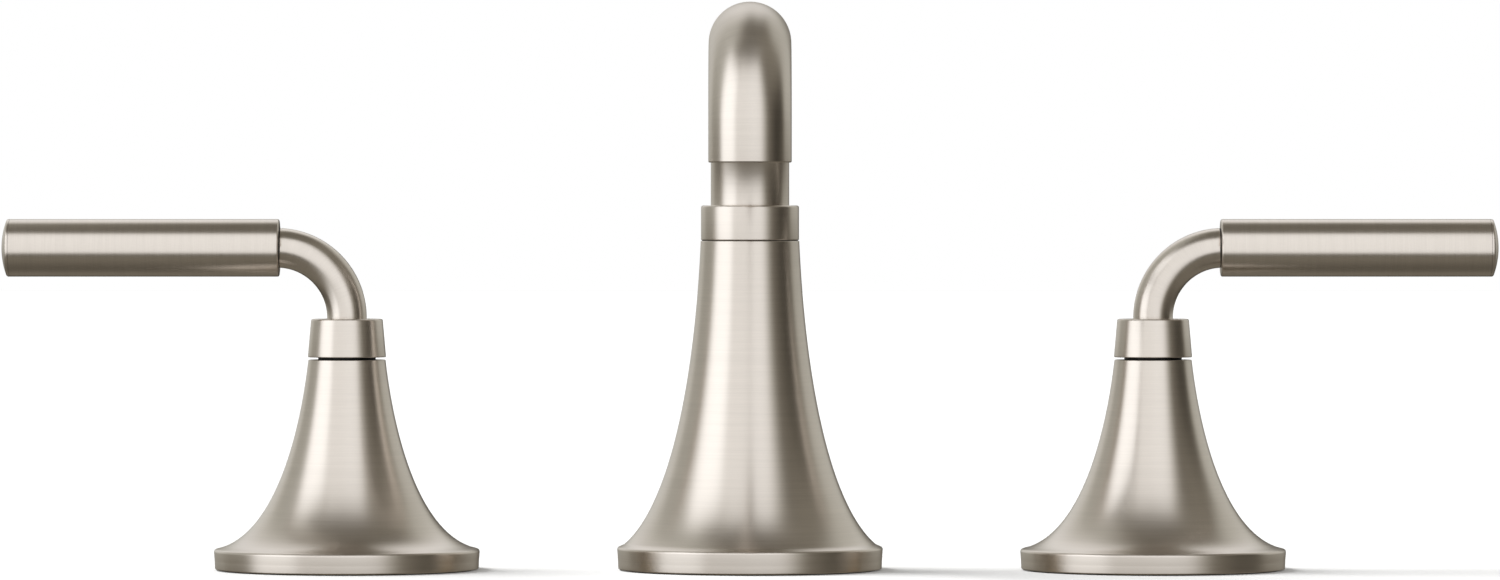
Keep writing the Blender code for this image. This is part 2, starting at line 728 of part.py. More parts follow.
def arm_route(side):
    """Rings along the bent arm from its foot in the hub to its end in the grip, with a groove near there."""
    out = Vector((side, 0, 0))
    bend = out * ARM_BEND + UP * (LEVER_Z - ARM_BEND)

    def on_bend(angle, radius):
        middle = bend - out * ARM_BEND * math.cos(angle) + UP * ARM_BEND * math.sin(angle)
        return middle, out * math.sin(angle) + UP * math.cos(angle), radius

    def on_grip_axis(along, radius):
        return out * along + UP * LEVER_Z, out, radius

    start, end = ARM_GROOVE
    wall = on_bend(math.acos(1 - start / ARM_BEND), 0)[0]
    rings = [(UP * ARM_FOOT, UP, 0), (UP * ARM_FOOT, UP, ARM_R)]
    rings += [on_bend(math.pi / 2 * i / ARM_STEPS, ARM_R) for i in range(ARM_STEPS)]
    rings += [(wall, out, ARM_R), (wall, out, ARM_GROOVE_R)]
    rings += [on_grip_axis(end, ARM_GROOVE_R), on_grip_axis(end, ARM_R)]
    rings += [on_grip_axis(ARM_END, ARM_R), on_grip_axis(ARM_END, 0)]
    return [(*ring, round_shape) for ring in rings]


def lever(prefix, axis, side):
    """Bent arm, the black ring on it, grip and domed cap, reaching out to one side."""
    arm = skin(f"{prefix}_lever_arm", arm_route(side), MEDIUM, NICKEL, closed=False)
    place(arm, (0, 0, 0), parent=axis)
    grip = turned(f"{prefix}_lever_grip", [
        (0, GRIP_BORE_END),
        (GRIP_BORE_R, GRIP_BORE_END),
        (GRIP_BORE_R, GRIP[0]),
        (GRIP_R - GRIP_EDGE, GRIP[0]),
        (GRIP_R, GRIP[0] + GRIP_EDGE),
        (GRIP_R, GRIP[1]),
        (CAP_SOCKET_R, GRIP[1]),
        (CAP_SOCKET_R, CAP_SOCKET_END),
        (0, CAP_SOCKET_END),
    ], NICKEL, MEDIUM)
    ring = washer(f"{prefix}_reveal_ring", *REVEAL_RING_R, *REVEAL_RING, BLACK_PLASTIC, MEDIUM)
    cap = turned(f"{prefix}_lever_cap", cap_outline(), NICKEL, MEDIUM)
    for obj in (grip, ring, cap):
        place(obj, (0, 0, LEVER_Z), (0, side * math.pi / 2, 0), axis)


def dome_height(out):
    """How far along the lever the cap's dome lies, at a distance from the lever's axis."""
    return CAP_TIP - CAP_DOME_R + math.sqrt(CAP_DOME_R**2 - out**2)


def cap_outline():
    """A shallow dome with a rounded edge, over a spigot."""
    start = GRIP[1] + GAP
    shoulder = CAP_R - 0.65 * CAP_EDGE
    edge = CAP_R - 0.2 * CAP_EDGE
    outline = [(0, CAP_SPIGOT_END), (CAP_SPIGOT_R, CAP_SPIGOT_END), (CAP_SPIGOT_R, start), (CAP_R, start)]
    outline += [(edge, dome_height(CAP_R) - 0.1 * CAP_EDGE), (shoulder, dome_height(shoulder))]
    for i in range(1, DOME_STEPS):
        out = shoulder * (1 - i / DOME_STEPS)
        outline.append((out, dome_height(out)))
    return outline + [(0, CAP_TIP)]


def handle(prefix, side):
    """One valve and its lever. side is -1 on the left and 1 on the right."""
    x = side * CENTRES / 2
    axis = empty(f"{prefix}_handle_axis", (x, 0, 0))
    handle_escutcheon(prefix, x)
    valve_body(prefix, x, side)
    valve_nuts(prefix, x)
    clamp_hardware(prefix, VALVE_R, HANDLE_CLAMP, x)
    cartridge(prefix, x)
    disc(f"{prefix}_fixed_disc", *FIXED_DISC, x, None)
    disc(f"{prefix}_moving_disc", *MOVING_DISC, 0, axis)
    spindle(prefix, axis)
    hub(prefix, axis)
    lever(prefix, axis, side)


clear_scene()
spout()
handle("hot", -1)
handle("cold", 1)
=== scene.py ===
"""Looks of the widespread basin faucet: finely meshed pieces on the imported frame, a studio and a camera.

Lengths are in millimetres and become metres in the mesh functions.
Places come from the frame where it has them.
"""
import json
import math

import bmesh
import bpy
from mathutils import Matrix, Vector


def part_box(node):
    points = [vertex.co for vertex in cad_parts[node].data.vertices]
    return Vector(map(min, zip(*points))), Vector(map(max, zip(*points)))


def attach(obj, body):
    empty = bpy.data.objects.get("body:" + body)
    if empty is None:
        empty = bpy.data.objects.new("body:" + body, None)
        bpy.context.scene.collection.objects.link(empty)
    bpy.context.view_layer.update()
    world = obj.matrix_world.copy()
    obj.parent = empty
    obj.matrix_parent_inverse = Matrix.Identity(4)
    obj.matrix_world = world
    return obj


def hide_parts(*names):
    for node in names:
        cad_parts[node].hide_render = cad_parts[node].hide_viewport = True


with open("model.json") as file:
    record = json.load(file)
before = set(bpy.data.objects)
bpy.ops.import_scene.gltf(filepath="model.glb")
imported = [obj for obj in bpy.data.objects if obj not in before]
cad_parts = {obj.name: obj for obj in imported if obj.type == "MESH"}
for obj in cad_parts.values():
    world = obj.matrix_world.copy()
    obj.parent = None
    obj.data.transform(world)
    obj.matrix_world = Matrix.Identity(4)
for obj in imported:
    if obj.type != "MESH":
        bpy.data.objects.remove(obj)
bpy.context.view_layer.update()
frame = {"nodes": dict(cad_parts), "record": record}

MM = 0.001
UP = Vector((0, 0, 1))
DOWN = Vector((0, 0, -1))


def middle(node):
    low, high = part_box(node)
    return (low + high) / (2 * MM)


def top_of(node):
    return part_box(node)[1].z / MM


# Places from the frame, in millimetres.
HANDLES = {
    "hot": (middle("hot_hub").x, -1),
    "cold": (middle("cold_hub").x, 1),
}
OUTLET = middle("aerator_housing")
REACH = -OUTLET.y
TUBE_TOP = top_of("spout_tube")
TUBE_R = (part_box("spout_tube")[1].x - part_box("spout_tube")[0].x) / (2 * MM)
FLANGE_R = (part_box("spout_base")[1].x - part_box("spout_base")[0].x) / (2 * MM)
LEVER_Z = middle("hot_lever_grip").z
GRIP_R = (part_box("hot_lever_grip")[1].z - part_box("hot_lever_grip")[0].z) / (2 * MM)
LEVER_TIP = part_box("cold_lever_cap")[1].x / MM - HANDLES["cold"][0]

# Outlines are (radius, height) points, or (radius, height, edge radius) where a corner is rounded.

# Trumpets. A curve has four points, from the top to the flange.
SPOUT_TRUMPET = ((12.43, 82.6), (14.15, 44.96), (20.93, 14.8), (32.3, 6.04))
SPOUT_BASE_TOP = 82.98
SPOUT_BASE_BORE_R = 11.7
SPOUT_HOLLOW = [
    (16.5, 22.0), (12.6, 34.0), (12.6, 50.0), (11.9, 50.0),
    (11.9, 68.3), (10.6, 68.3), (10.6, 81.9), (SPOUT_BASE_BORE_R, 81.9),
]
HANDLE_TRUMPET = ((9.75, 52.7), (11.96, 33.5), (18.43, 9.1), (32.25, 5.53))
HANDLE_CONE_TOP = 53.0
HANDLE_BORE_R = 8.0
HANDLE_HOLLOW = [(17.9, 13.0), (16.9, 17.2), (12.4, 28.0), (9.9, 38.0), (HANDLE_BORE_R, 46.0)]
RIM_DEPTH = 2.0
RIM_STEP = 0.02                  # from the curve's start in to the rim
RIM_EDGES = (0.1, 0.18)          # inner and outer edge radius
FLANGE_DROP = 0.3                # from the curve's end down to the flange's upper corner
FLANGE_EDGE = 0.78
FLANGE_BEND_INSET = 0.23
FLANGE_BEND_Z = 2.4
FLANGE_BEND_EDGE = 8.0
FLANGE_FOOT = 0.3
FLANGE_FOOT_INSET = 0.3
FLANGE_FOOT_EDGE = 0.3
POCKET_R = 32.2                  # pocket for the gasket
POCKET_ROOF = 1.3
HOLLOW_R = 21.0
HOLLOW_START = 6.6

# Spout.
REAR_BEND = 38.3                 # radius at the tube's axis, from the collar up into the level run
FRONT_BEND = 20.0                # and from there down to the outlet
TUBE_BORE_R = 8.5
TUBE_FOOT = 52.0
OUTLET_Z = 102.2
OUTLET_EDGE = 0.35
MOUTH_R = 9.0
MOUTH_DEPTH = 8.0
MOUTH_BEVEL = 0.2
COLLAR_PLAY = 0.3                # between the collar and the tube
COLLAR_R = 12.35
COLLAR_FOOT = 83.14
COLLAR_TOP = 91.9
COLLAR_EDGES = (0.28, 0.55, 0.2)    # edge radii of its foot, its top and its bore at the top
SLIP_BORE_R = 10.3               # slip washer between the collar and the base
SLIP_FOOT = 82.2
SLIP_FOOT_R = 11.4
SLIP_INSET = 0.25
SLIP_PLAY = 0.02
AERATOR = (OUTLET_Z + 0.5, OUTLET_Z + 6.3)    # foot and top
AERATOR_R = 8.7
AERATOR_BORE_R = 7.9
AERATOR_LIP_R = 6.9
AERATOR_LIP = 0.8
AERATOR_EDGES = (0.3, 0.5, 0.2, 0.1)    # edge radii of its lip, foot, top and ledge
AERATOR_WASHER_R = (6.4, 8.6)
AERATOR_WASHER_RISE = (0.3, 1.4)    # above the housing
AERATOR_WASHER_EDGE = 0.25
INSERT = (OUTLET_Z + 1.6, OUTLET_Z + 5.7)
INSERT_R = (6.75, 7.6)
INSERT_EDGES = (0.15, 0.2)       # edge radii of its foot and its top
CELLS_R = 7.0
CELLS_RISE = (0.2, 2.2)          # above the insert's foot
CELL_R = 0.62                    # from a cell's middle to its corners
CELL_WALL = 0.11                 # half of the wall between two cells
CELL_MARGIN = 0.4                # least distance from a cell's middle to the disc's edge, in cell radii

# Handles. Along a lever, distances run out from the handle's axis.
HUB_FOOT = 53.65
HUB_TOP = 63.3
HUB_FOOT_R = 9.85
HUB_TOP_R = 9.0
HUB_BORE_R = 7.55
HUB_FLOOR = 58.9
HUB_EDGES = (0.15, 0.22, 0.5, 0.1)    # edge radii from the bore's foot outwards and up to the arm's hole
HUB_INSERT = [(0, 58.6), (7.25, 58.6, 0.3), (7.25, 47.5, 0.3), (4.1, 47.5, 0.3), (4.1, 56.3), (0, 56.3)]
ARM_PLAY = 0.12                  # between the arm and its hole in the hub
ARM_R = 5.0
ARM_FOOT = 59.2
ARM_BEND = 17.6                  # radius at the arm's axis
ARM_BEND_MARGIN = 0.1            # from the bend's end to the reveal ring
ARM_STEP = 0.08
ARM_END = 31.0
SEAL_START = 16.72
SEAL_PLAY = 0.02
SEAL_BORE_R = 4.45
SEAL_R = ARM_R - 0.06
SEAL_EDGE = 0.05
GRIP_START = 17.05
GRIP_END = 84.95
GRIP_EDGE = 0.45
GRIP_END_EDGE = 0.04
GRIP_BORE_R = 5.3
GRIP_BORE_END = 32.0
GRIP_MOUTH_R = 5.05
GRIP_MOUTH_END = GRIP_START + 0.5
GRIP_MOUTH_EDGE = 0.05
GROOVE_R = 4.4                   # groove in the arm under the reveal ring
GROOVE_END = GRIP_START + 0.6
SEAM = 0.05
CAP_SOCKET_R = 4.9
CAP_SOCKET_END = 80.0
CAP_PLUG_R = 4.6
CAP_PLUG_END = 80.3
CAP_FILLET = 0.55
CAP_DOME_R = 20.0
CAP_PLAY = 0.02                  # between the dome and the solid's tip
CAP_GUIDE = 1.0                  # from the cap's wall in to the point that its fillet is aimed at

# Set screw at the hub's back. Distances run from the handle's axis towards the back.
SCREW_Z = 56.2
SCREW_HOLE_R = 1.8
SCREW_HOLE = (5.4, 14.0)
SCREW = (5.7, 9.1)
SCREW_TIP_R = 0.9
SCREW_END_R = 1.1
SCREW_R = 1.5
SCREW_PITCH = 0.5
SCREW_THREAD = (5.9, 9.0)
SOCKET_R = 0.8
SOCKET_FLOOR = 7.4

# Threads and nuts.
PITCH = 1.814                    # of a half inch pipe thread
THREAD_DEPTH = 0.6               # in pitches
THREAD_PLAY = 0.3
NUT_BEVEL = 0.7
NUT_DEPTHS = (0.0, 0.25, 0.5, 0.75, 1.0, 1.3)    # of the rings below a face, where corners are turned off
NUT_LAST_DEPTH = 0.12            # of the flat
NUT_FACE = 0.965                 # radius of a nut's face, in flats
NUT_SLOPE = 1.73
BONNET = (6.6, 16.3)
BONNET_FLAT = 14.0
BONNET_BEVEL = 0.6
BONNET_R = 12.3
BONNET_ROOF = 12.7
BONNET_HOLE_R = 6.8
BONNET_HOLE_BEVEL = 0.4

# Gaskets on the deck, and the washers and nuts under it, with how far below it each starts and ends.
DECK = 25.0
GASKET_R = (22.0, 31.8)
GASKET_THICK = 1.0
GASKET_EDGE = 0.2
RUBBER_WASHER = (0.0, 3.0)
RUBBER_EDGE = 0.4
STEEL_WASHER = (3.3, 4.8)
STEEL_EDGE = 0.25
MOUNTING_NUT = (5.1, 13.0)

# Spout's shank, with the post that the tube turns on.
SHANK_R = 10.45
SHANK_WASHER_R = 20.0
SHANK_FLAT = 15.0
SHANK_BORE_R = 4.5
SHANK_THREAD = (-60.0, 33.0)
SHANK_START_R = 8.6
SHANK_NECK_R = (9.4, 11.3)
SHANK_UPPER_R = 12.3
SHANK_UPPER_THREAD = (34.3, 46.0)
POST_R = 7.6
POST_GROOVES = ((63.4, 65.8), (70.4, 72.8))
POST_GROOVE_R = 6.1
POST_TOP = [(POST_R, 75.4), (7.0, 76.0), (SHANK_BORE_R, 76.0)]

# Valve bodies, and the tee under the shank.
VALVE_R = 12.0
VALVE_WASHER_R = 21.0
VALVE_FLAT = 17.0
VALVE_THREAD = (-41.0, 12.0)
VALVE_BORE_R = 9.9
VALVE_SEAT = -14.3
VALVE_BELT = [(9.4, -56.0), (13.5, -56.0, 0.9), (13.5, -42.0, 0.9), (11.0, -42.0)]
UPPER_NUT = (0.0, 6.0)
INLET_R = 10.4
INLET_START_R = 9.2
INLET_THREAD = (-70.0, -57.0)
PASSAGE_R = 2.9
PASSAGE_OUT = 4.6                # from the valve's axis
INLET_PASSAGE = (-75.0, -12.3)
OUTLET_PASSAGE = (-50.0, -12.3)
VALVE_PORT_Z = -49.0
TEE = [
    (0, -76.0), (13.5, -76.0, 1.2), (13.5, -46.0, 0.8), (10.75, -46.0, 0.5),
    (10.75, -60.3), (6.0, -60.3), (6.0, -73.0), (0, -73.0),
]
TEE_PORT_Z = -68.0
PORT_NECK_R = 5.8
PORT_NECK = (8.0, 14.0)          # from the body's axis
PORT_R = 6.6
PORT_PITCH = 1.4
PORT_THREAD = (14.4, 27.0)
PORT_BORE_R = 3.6
PORT_BORE = (3.0, 32.0)

# Fineness of the meshes.
TURNS = 160
TUBE_TURNS = 96
RING_TURNS = 96
VALVE_TURNS = 72
SHANK_TURNS = 64
BAR_TURNS = 48
PASSAGE_TURNS = 24
ARC_STEPS = 6
THREAD_STEPS = 6
BEND_STEPS = 40
TRUMPET_STEPS = 64
DOME_STEPS = 24
SHARP = 30                       # degrees over which an edge is shaded sharp
UPRIGHT = 1e-6                   # lean of a ring that still counts as upright

# Camera of the photograph: level, far off, looking straight at the spout.
PHOTO_WIDTH = 1500
SCALE = 203.2 / 806.1            # millimetres in a pixel at the handles' axes
CAMERA_DISTANCE = 2105.0
DECK_ROW = 570.0
HORIZON_ROW = 195.0
MIDDLE_ROW = 290.0
SENSOR = 36.0
CLIP = (0.05, 50)                # metres

# Materials. The nickel has the colour that the photograph shows where it faces the soft front light.
NICKEL = (0.69, 0.632, 0.570)
METALS = {
    "brushed_nickel": dict(name="nickel_plain", colour=NICKEL, roughness=0.32),
    "raw_brass": dict(name="raw_brass", colour=(0.71, 0.54, 0.25), roughness=0.36),
    "plain_steel": dict(name="plain_steel", colour=(0.58, 0.58, 0.60), roughness=0.34),
}
MOULDED = {
    "black_rubber": dict(colour=(0.028, 0.027, 0.027), roughness=0.8, grain=900.0, specular=0.3),
    "black_plastic": dict(colour=(0.012, 0.011, 0.011), roughness=0.55, grain=700.0, specular=0.3),
    "white_nylon": dict(colour=(0.80, 0.78, 0.72), roughness=0.5, grain=500.0),
    "ceramic": dict(colour=(0.88, 0.87, 0.84), roughness=0.2, grain=400.0),
}
NOISE = (0.3, 0.7)               # what a noise mostly spans
BLOTCH_NOISE = (0.35, 0.7)
BRUSH_ROUGHNESS = 0.30
BRUSH_SPREAD = 0.02              # of the roughness, either way
BRUSH_ANISOTROPY = 0.5
BRUSH_TONES = (0.965, 1.035)     # darkest and lightest, as shares of the colour
FINE_LINES = (5.0, 1.2)          # how many are in a millimetre along a piece, and how they wander round it
BROAD_LINES = (1.1, 0.35)
LINE_SHARES = (0.6, 0.4)         # of the fine and of the broad lines in the tone
MOULDED_SPREAD = 0.06
MOULDED_DARK = 0.8
TURNED_SPREAD = (-0.06, 0.08)
TURNED_DARK = 0.82
TURNED_GRAIN = (300, 300, 6000)
BLOTCHES = 120.0


def build_camera():
    data = bpy.data.cameras.new("photo_camera")
    data.sensor_width = SENSOR
    data.lens = SENSOR * CAMERA_DISTANCE / (PHOTO_WIDTH * SCALE)
    data.shift_y = -(MIDDLE_ROW - HORIZON_ROW) / PHOTO_WIDTH
    data.clip_start, data.clip_end = CLIP
    camera = bpy.data.objects.new("photo_camera", data)
    camera.location = Vector((0, -CAMERA_DISTANCE, (DECK_ROW - HORIZON_ROW) * SCALE)) * MM
    camera.rotation_euler = (math.pi / 2, 0, 0)
    bpy.context.collection.objects.link(camera)
    bpy.context.scene.camera = camera


class Graph:
    """Short calls for building a node tree."""

    def __init__(self, tree):
        self.tree = tree
        tree.nodes.clear()

    def add(self, kind, inputs=(), **settings):
        made = self.tree.nodes.new(kind)
        for name, value in settings.items():
            setattr(made, name, value)
        for key, value in dict(inputs).items():
            if isinstance(value, bpy.types.NodeSocket):
                self.tree.links.new(value, made.inputs[key])
            else:
                made.inputs[key].default_value = value
        return made

    def math(self, operation, first, second=None):
        values = {0: first}
        if second is not None:
            values[1] = second
        return self.add("ShaderNodeMath", values, operation=operation).outputs[0]

    def ramp(self, value, low, high, start=0.0, end=1.0):
        """Smooth step of a value from start, where it is low, to end, where it is high."""
        inputs = {"Value": value, "From Min": low, "From Max": high, "To Min": start, "To Max": end}
        return self.add("ShaderNodeMapRange", inputs, interpolation_type="SMOOTHSTEP").outputs["Result"]

    def band(self, value, low, high, soft):
        """1 between low and high, falling to 0 over twice soft at each end."""
        rise = self.ramp(value, low - soft, low + soft)
        fall = self.ramp(value, high - soft, high + soft, 1.0, 0.0)
        return self.math("MULTIPLY", rise, fall)

    def mix(self, factor, first, second):
        inputs = {0: factor, 2: first, 3: second}
        return self.add("ShaderNodeMix", inputs, data_type="FLOAT").outputs[0]

    def colour_mix(self, factor, first, second):
        inputs = {0: factor, 6: first, 7: second}
        return self.add("ShaderNodeMix", inputs, data_type="RGBA").outputs[2]


# Studio, in degrees. Azimuth 0 is towards the camera and 90 is to its right; elevation 0 is level.
# A panel runs from its first to its second angle, and fades over the third.
FRONT_LEFT = dict(azimuth=(-38, 30, 14), elevation=(-21, 58, 10), level=1.15)
FRONT = dict(azimuth=(-3, 40, 30), elevation=(-21, 58, 10), level=1.22)
KEY = dict(azimuth=(-88, -39, 16), elevation=(-21, 50, 24), level=1.68)
NEAR_RIGHT = dict(azimuth=(30, 66, 24), elevation=(-21, 50, 24), level=0.15)
HIGH_RIGHT = dict(azimuth=(50, 112, 30), elevation=(22, 70, 24), level=0.23)
LEFT_SIDE = dict(azimuth=(-140, -84, 12), elevation=(-6, 72, 24), level=0.48)
REAR_LEFT = dict(azimuth=(-172, -133, 16), elevation=(-4, 62, 24), level=0.74)
REAR_RIGHT = dict(azimuth=(108, 158, 20), elevation=(-4, 50, 22), level=0.62)
REAR_TOP = dict(azimuth=(154, 206, 24), elevation=(20, 58, 22), level=1.05)
SIDE = 0.045                     # level with the piece, where no panel is
CEILING = 0.14
UNDERSIDE = (0.05, 0.19)         # straight down and nearer to level
FLOOR_BEHIND = 0.17
CEILING_RISE = (18.0, 62.0)      # elevations over which the side becomes the ceiling
UNDERSIDE_RISE = (-85.0, -40.0)
HORIZON = (-36.0, -22.0)         # elevations over which what is below becomes what is above
BEHIND_TURN = (60.0, 130.0)      # azimuths over which the front becomes the back
BEHIND_RISE = (-75.0, -40.0)
PAST_START = -90.0               # first azimuth of the count past 180
WARM = (1.10, 1.0, 0.82, 1)
GREENISH = (1.0, 1.0, 0.92, 1)
PLAIN = (1.0, 1.0, 1.0, 1)
COOL = (0.975, 1.0, 1.03, 1)
WARM_TO_GREENISH = (0.1, 0.5)    # levels over which one tint becomes the next
GREENISH_TO_PLAIN = (0.5, 0.95)
PLAIN_TO_COOL = (0.95, 1.4)


def build_world():
    world = bpy.data.worlds.new("studio")
    world.use_nodes = True
    bpy.context.scene.world = world
    g = Graph(world.node_tree)
    way = g.add("ShaderNodeTexCoord").outputs["Generated"]
    axes = g.add("ShaderNodeSeparateXYZ", {0: way}).outputs
    degrees = 180 / math.pi
    back = g.math("MULTIPLY", axes["Y"], -1.0)
    azimuth = g.math("MULTIPLY", g.math("ARCTAN2", axes["X"], back), degrees)
    elevation = g.math("MULTIPLY", g.math("ARCSINE", axes["Z"]), degrees)
    # The same angle counted past 180, for the panel that crosses the direction straight behind.
    past = g.math("WRAP", azimuth, PAST_START + 360.0)
    past.node.inputs[2].default_value = PAST_START

    def panel(level, turn, place):
        low, high, fade = place["azimuth"]
        across = g.band(turn, low, high, fade / 2)
        low, high, fade = place["elevation"]
        up = g.band(elevation, low, high, fade / 2)
        return g.mix(g.math("MULTIPLY", across, up), level, place["level"])

    away = g.math("ABSOLUTE", azimuth)
    ceiling = g.ramp(elevation, *CEILING_RISE, SIDE, CEILING)
    below = g.ramp(elevation, *UNDERSIDE_RISE, *UNDERSIDE)
    behind = g.math("MULTIPLY", g.ramp(away, *BEHIND_TURN), g.ramp(elevation, *BEHIND_RISE))
    below = g.mix(behind, below, FLOOR_BEHIND)
    level = g.mix(g.ramp(elevation, *HORIZON), below, ceiling)
    for turn, place in (
        (azimuth, LEFT_SIDE),
        (azimuth, REAR_LEFT),
        (azimuth, REAR_RIGHT),
        (past, REAR_TOP),
        (azimuth, HIGH_RIGHT),
        (azimuth, NEAR_RIGHT),
        (azimuth, FRONT_LEFT),
        (azimuth, FRONT),
        (azimuth, KEY),
    ):
        level = panel(level, turn, place)
    tint = g.colour_mix(g.ramp(level, *WARM_TO_GREENISH), WARM, GREENISH)
    tint = g.colour_mix(g.ramp(level, *GREENISH_TO_PLAIN), tint, PLAIN)
    tint = g.colour_mix(g.ramp(level, *PLAIN_TO_COOL), tint, COOL)
    lit = g.add("ShaderNodeBackground", {"Color": tint, "Strength": level})
    white = g.add("ShaderNodeBackground", {"Color": PLAIN, "Strength": 1.0})
    path = g.add("ShaderNodeLightPath").outputs
    direct = g.math("MAXIMUM", path["Is Camera Ray"], path["Is Transmission Ray"])
    seen = g.add("ShaderNodeMixShader", {0: direct, 1: lit.outputs[0], 2: white.outputs[0]})
    g.add("ShaderNodeOutputWorld", {"Surface": seen.outputs[0]})


FLOOR_GLOW = 0.11                # added to what the camera sees of the floor, where 1 is white
FLOOR_GREY = 0.60
FLOOR_SIZE = 6.0
# Painted shade that low metal mirrors in the floor close to the bases, where the camera sees the floor
# white: its reach to either side in metres, its share and its level.
PAINTED_FLOOR_SHADE = dict(reach=(0.10, 0.16), share=0.38, level=0.22)
SHADOW_LAMP = dict(azimuth=-106, elevation=51, spread=30, strength=4.3)


def build_lamp():
    """Soft light from the left for the floor's shadows. The metal mirrors the studio's panels instead."""
    data = bpy.data.lights.new("shadow_lamp", "SUN")
    data.energy = SHADOW_LAMP["strength"]
    data.angle = math.radians(SHADOW_LAMP["spread"])
    lamp = bpy.data.objects.new("shadow_lamp", data)
    azimuth, elevation = (math.radians(SHADOW_LAMP[word]) for word in ("azimuth", "elevation"))
    level = math.cos(elevation)
    way = Vector((math.sin(azimuth) * level, -math.cos(azimuth) * level, math.sin(elevation)))
    lamp.rotation_euler = way.to_track_quat("Z", "Y").to_euler()
    lamp.visible_glossy = False
    bpy.context.collection.objects.link(lamp)


def floor_material():
    made = bpy.data.materials.new("pale_floor")
    made.use_nodes = True
    g = Graph(made.node_tree)
    reflected = g.add("ShaderNodeBsdfTransparent")
    matt = g.add("ShaderNodeBsdfDiffuse", {"Color": (FLOOR_GREY, FLOOR_GREY, FLOOR_GREY, 1)})
    paper = g.add("ShaderNodeEmission", {"Color": (1, 1, 1, 1), "Strength": FLOOR_GLOW})
    shown = g.add("ShaderNodeAddShader", {0: matt.outputs[0], 1: paper.outputs[0]})
    place = g.add("ShaderNodeTexCoord").outputs["Object"]
    out = g.math("ABSOLUTE", g.add("ShaderNodeSeparateXYZ", {0: place}).outputs["Y"])
    # Painted shade: a grey glow close to the bases that only glossy rays see, standing in for the shaded
    # floor that low metal would mirror.
    painted_shade = g.add("ShaderNodeEmission", {"Color": WARM, "Strength": PAINTED_FLOOR_SHADE["level"]})
    painted_shade_mask = g.ramp(out, *PAINTED_FLOOR_SHADE["reach"], PAINTED_FLOOR_SHADE["share"], 0.0)
    reflected = g.add("ShaderNodeMixShader", {0: painted_shade_mask, 1: reflected.outputs[0], 2: painted_shade.outputs[0]})
    path = g.add("ShaderNodeLightPath").outputs
    direct = g.math("MAXIMUM", path["Is Camera Ray"], path["Is Transmission Ray"])
    plain = g.add("ShaderNodeMixShader", {0: direct, 1: matt.outputs[0], 2: shown.outputs[0]})
    parts = {0: path["Is Glossy Ray"], 1: plain.outputs[0], 2: reflected.outputs[0]}
    seen = g.add("ShaderNodeMixShader", parts)
    g.add("ShaderNodeOutputMaterial", {"Surface": seen.outputs[0]})
    return made


def build_floor():
    made = bmesh.new()
    bmesh.ops.create_grid(made, x_segments=1, y_segments=1, size=FLOOR_SIZE)
    mesh = bpy.data.meshes.new("floor")
    made.to_mesh(mesh)
    made.free()
    mesh.materials.append(floor_material())
    floor = bpy.data.objects.new("floor", mesh)
    bpy.context.collection.objects.link(floor)


# Materials.

def brushed(name, colour, roughness, anisotropy):
    """Metal brushed round each piece, along the first direction of its UV map."""
    made = bpy.data.materials.new(name)
    made.use_nodes = True
    g = Graph(made.node_tree)
    uv = g.add("ShaderNodeUVMap", uv_map="turn").outputs[0]
    axes = g.add("ShaderNodeSeparateXYZ", {0: uv}).outputs
    angle = g.math("MULTIPLY", axes["X"], 2 * math.pi)

    def lines(count, wander):
        """Noise drawn out round the piece, so that it makes lines that fade in and out."""
        across = g.math("MULTIPLY", g.math("COSINE", angle), wander)
        up = g.math("MULTIPLY", g.math("SINE", angle), wander)
        along = g.math("MULTIPLY", axes["Y"], count)
        spot = g.add("ShaderNodeCombineXYZ", {0: across, 1: up, 2: along}).outputs[0]
        inputs = {"Vector": spot, "Scale": 1.0, "Detail": 2.0, "Roughness": 0.6}
        return g.add("ShaderNodeTexNoise", inputs).outputs[0]

    fine = lines(*FINE_LINES)
    broad = lines(*BROAD_LINES)
    rough = g.ramp(fine, *NOISE, roughness - BRUSH_SPREAD, roughness + BRUSH_SPREAD)
    dark, light = (tuple(c * share for c in colour) for share in BRUSH_TONES)
    fine_share, broad_share = LINE_SHARES
    tone = g.math("ADD", g.math("MULTIPLY", fine, fine_share), g.math("MULTIPLY", broad, broad_share))
    shade = g.colour_mix(g.ramp(tone, *NOISE), (*dark, 1), (*light, 1))
    bump = g.add("ShaderNodeBump", {"Strength": 0.2, "Distance": 0.000003, "Height": fine}).outputs[0]
    tangent = g.add("ShaderNodeTangent", direction_type="UV_MAP", uv_map="turn").outputs[0]
    shader = g.add("ShaderNodeBsdfPrincipled", {
        "Base Color": shade,
        "Metallic": 1.0,
        "Roughness": rough,
        "Anisotropic": anisotropy,
        "Anisotropic Rotation": 0.25,
        "Tangent": tangent,
        "Normal": bump,
    })
    g.add("ShaderNodeOutputMaterial", {"Surface": shader.outputs[0]})
    return made


def moulded(name, colour, roughness, grain, specular=0.5):
    """Rubber, plastic or ceramic with a fine mottled surface."""
    made = bpy.data.materials.new(name)
    made.use_nodes = True
    g = Graph(made.node_tree)
    place = g.add("ShaderNodeTexCoord").outputs["Object"]
    inputs = {"Vector": place, "Scale": grain, "Detail": 4.0, "Roughness": 0.6}
    noise = g.add("ShaderNodeTexNoise", inputs).outputs[0]
    rough = g.ramp(noise, *NOISE, roughness - MOULDED_SPREAD, roughness + MOULDED_SPREAD)
    dark = tuple(c * MOULDED_DARK for c in colour)
    shade = g.colour_mix(g.ramp(noise, *NOISE), (*dark, 1), (*colour, 1))
    bump = g.add("ShaderNodeBump", {"Strength": 0.2, "Distance": 0.00005, "Height": noise}).outputs[0]
    shader = g.add("ShaderNodeBsdfPrincipled", {
        "Base Color": shade,
        "Roughness": rough,
        "Specular IOR Level": specular,
        "Normal": bump,
    })
    g.add("ShaderNodeOutputMaterial", {"Surface": shader.outputs[0]})
    return made


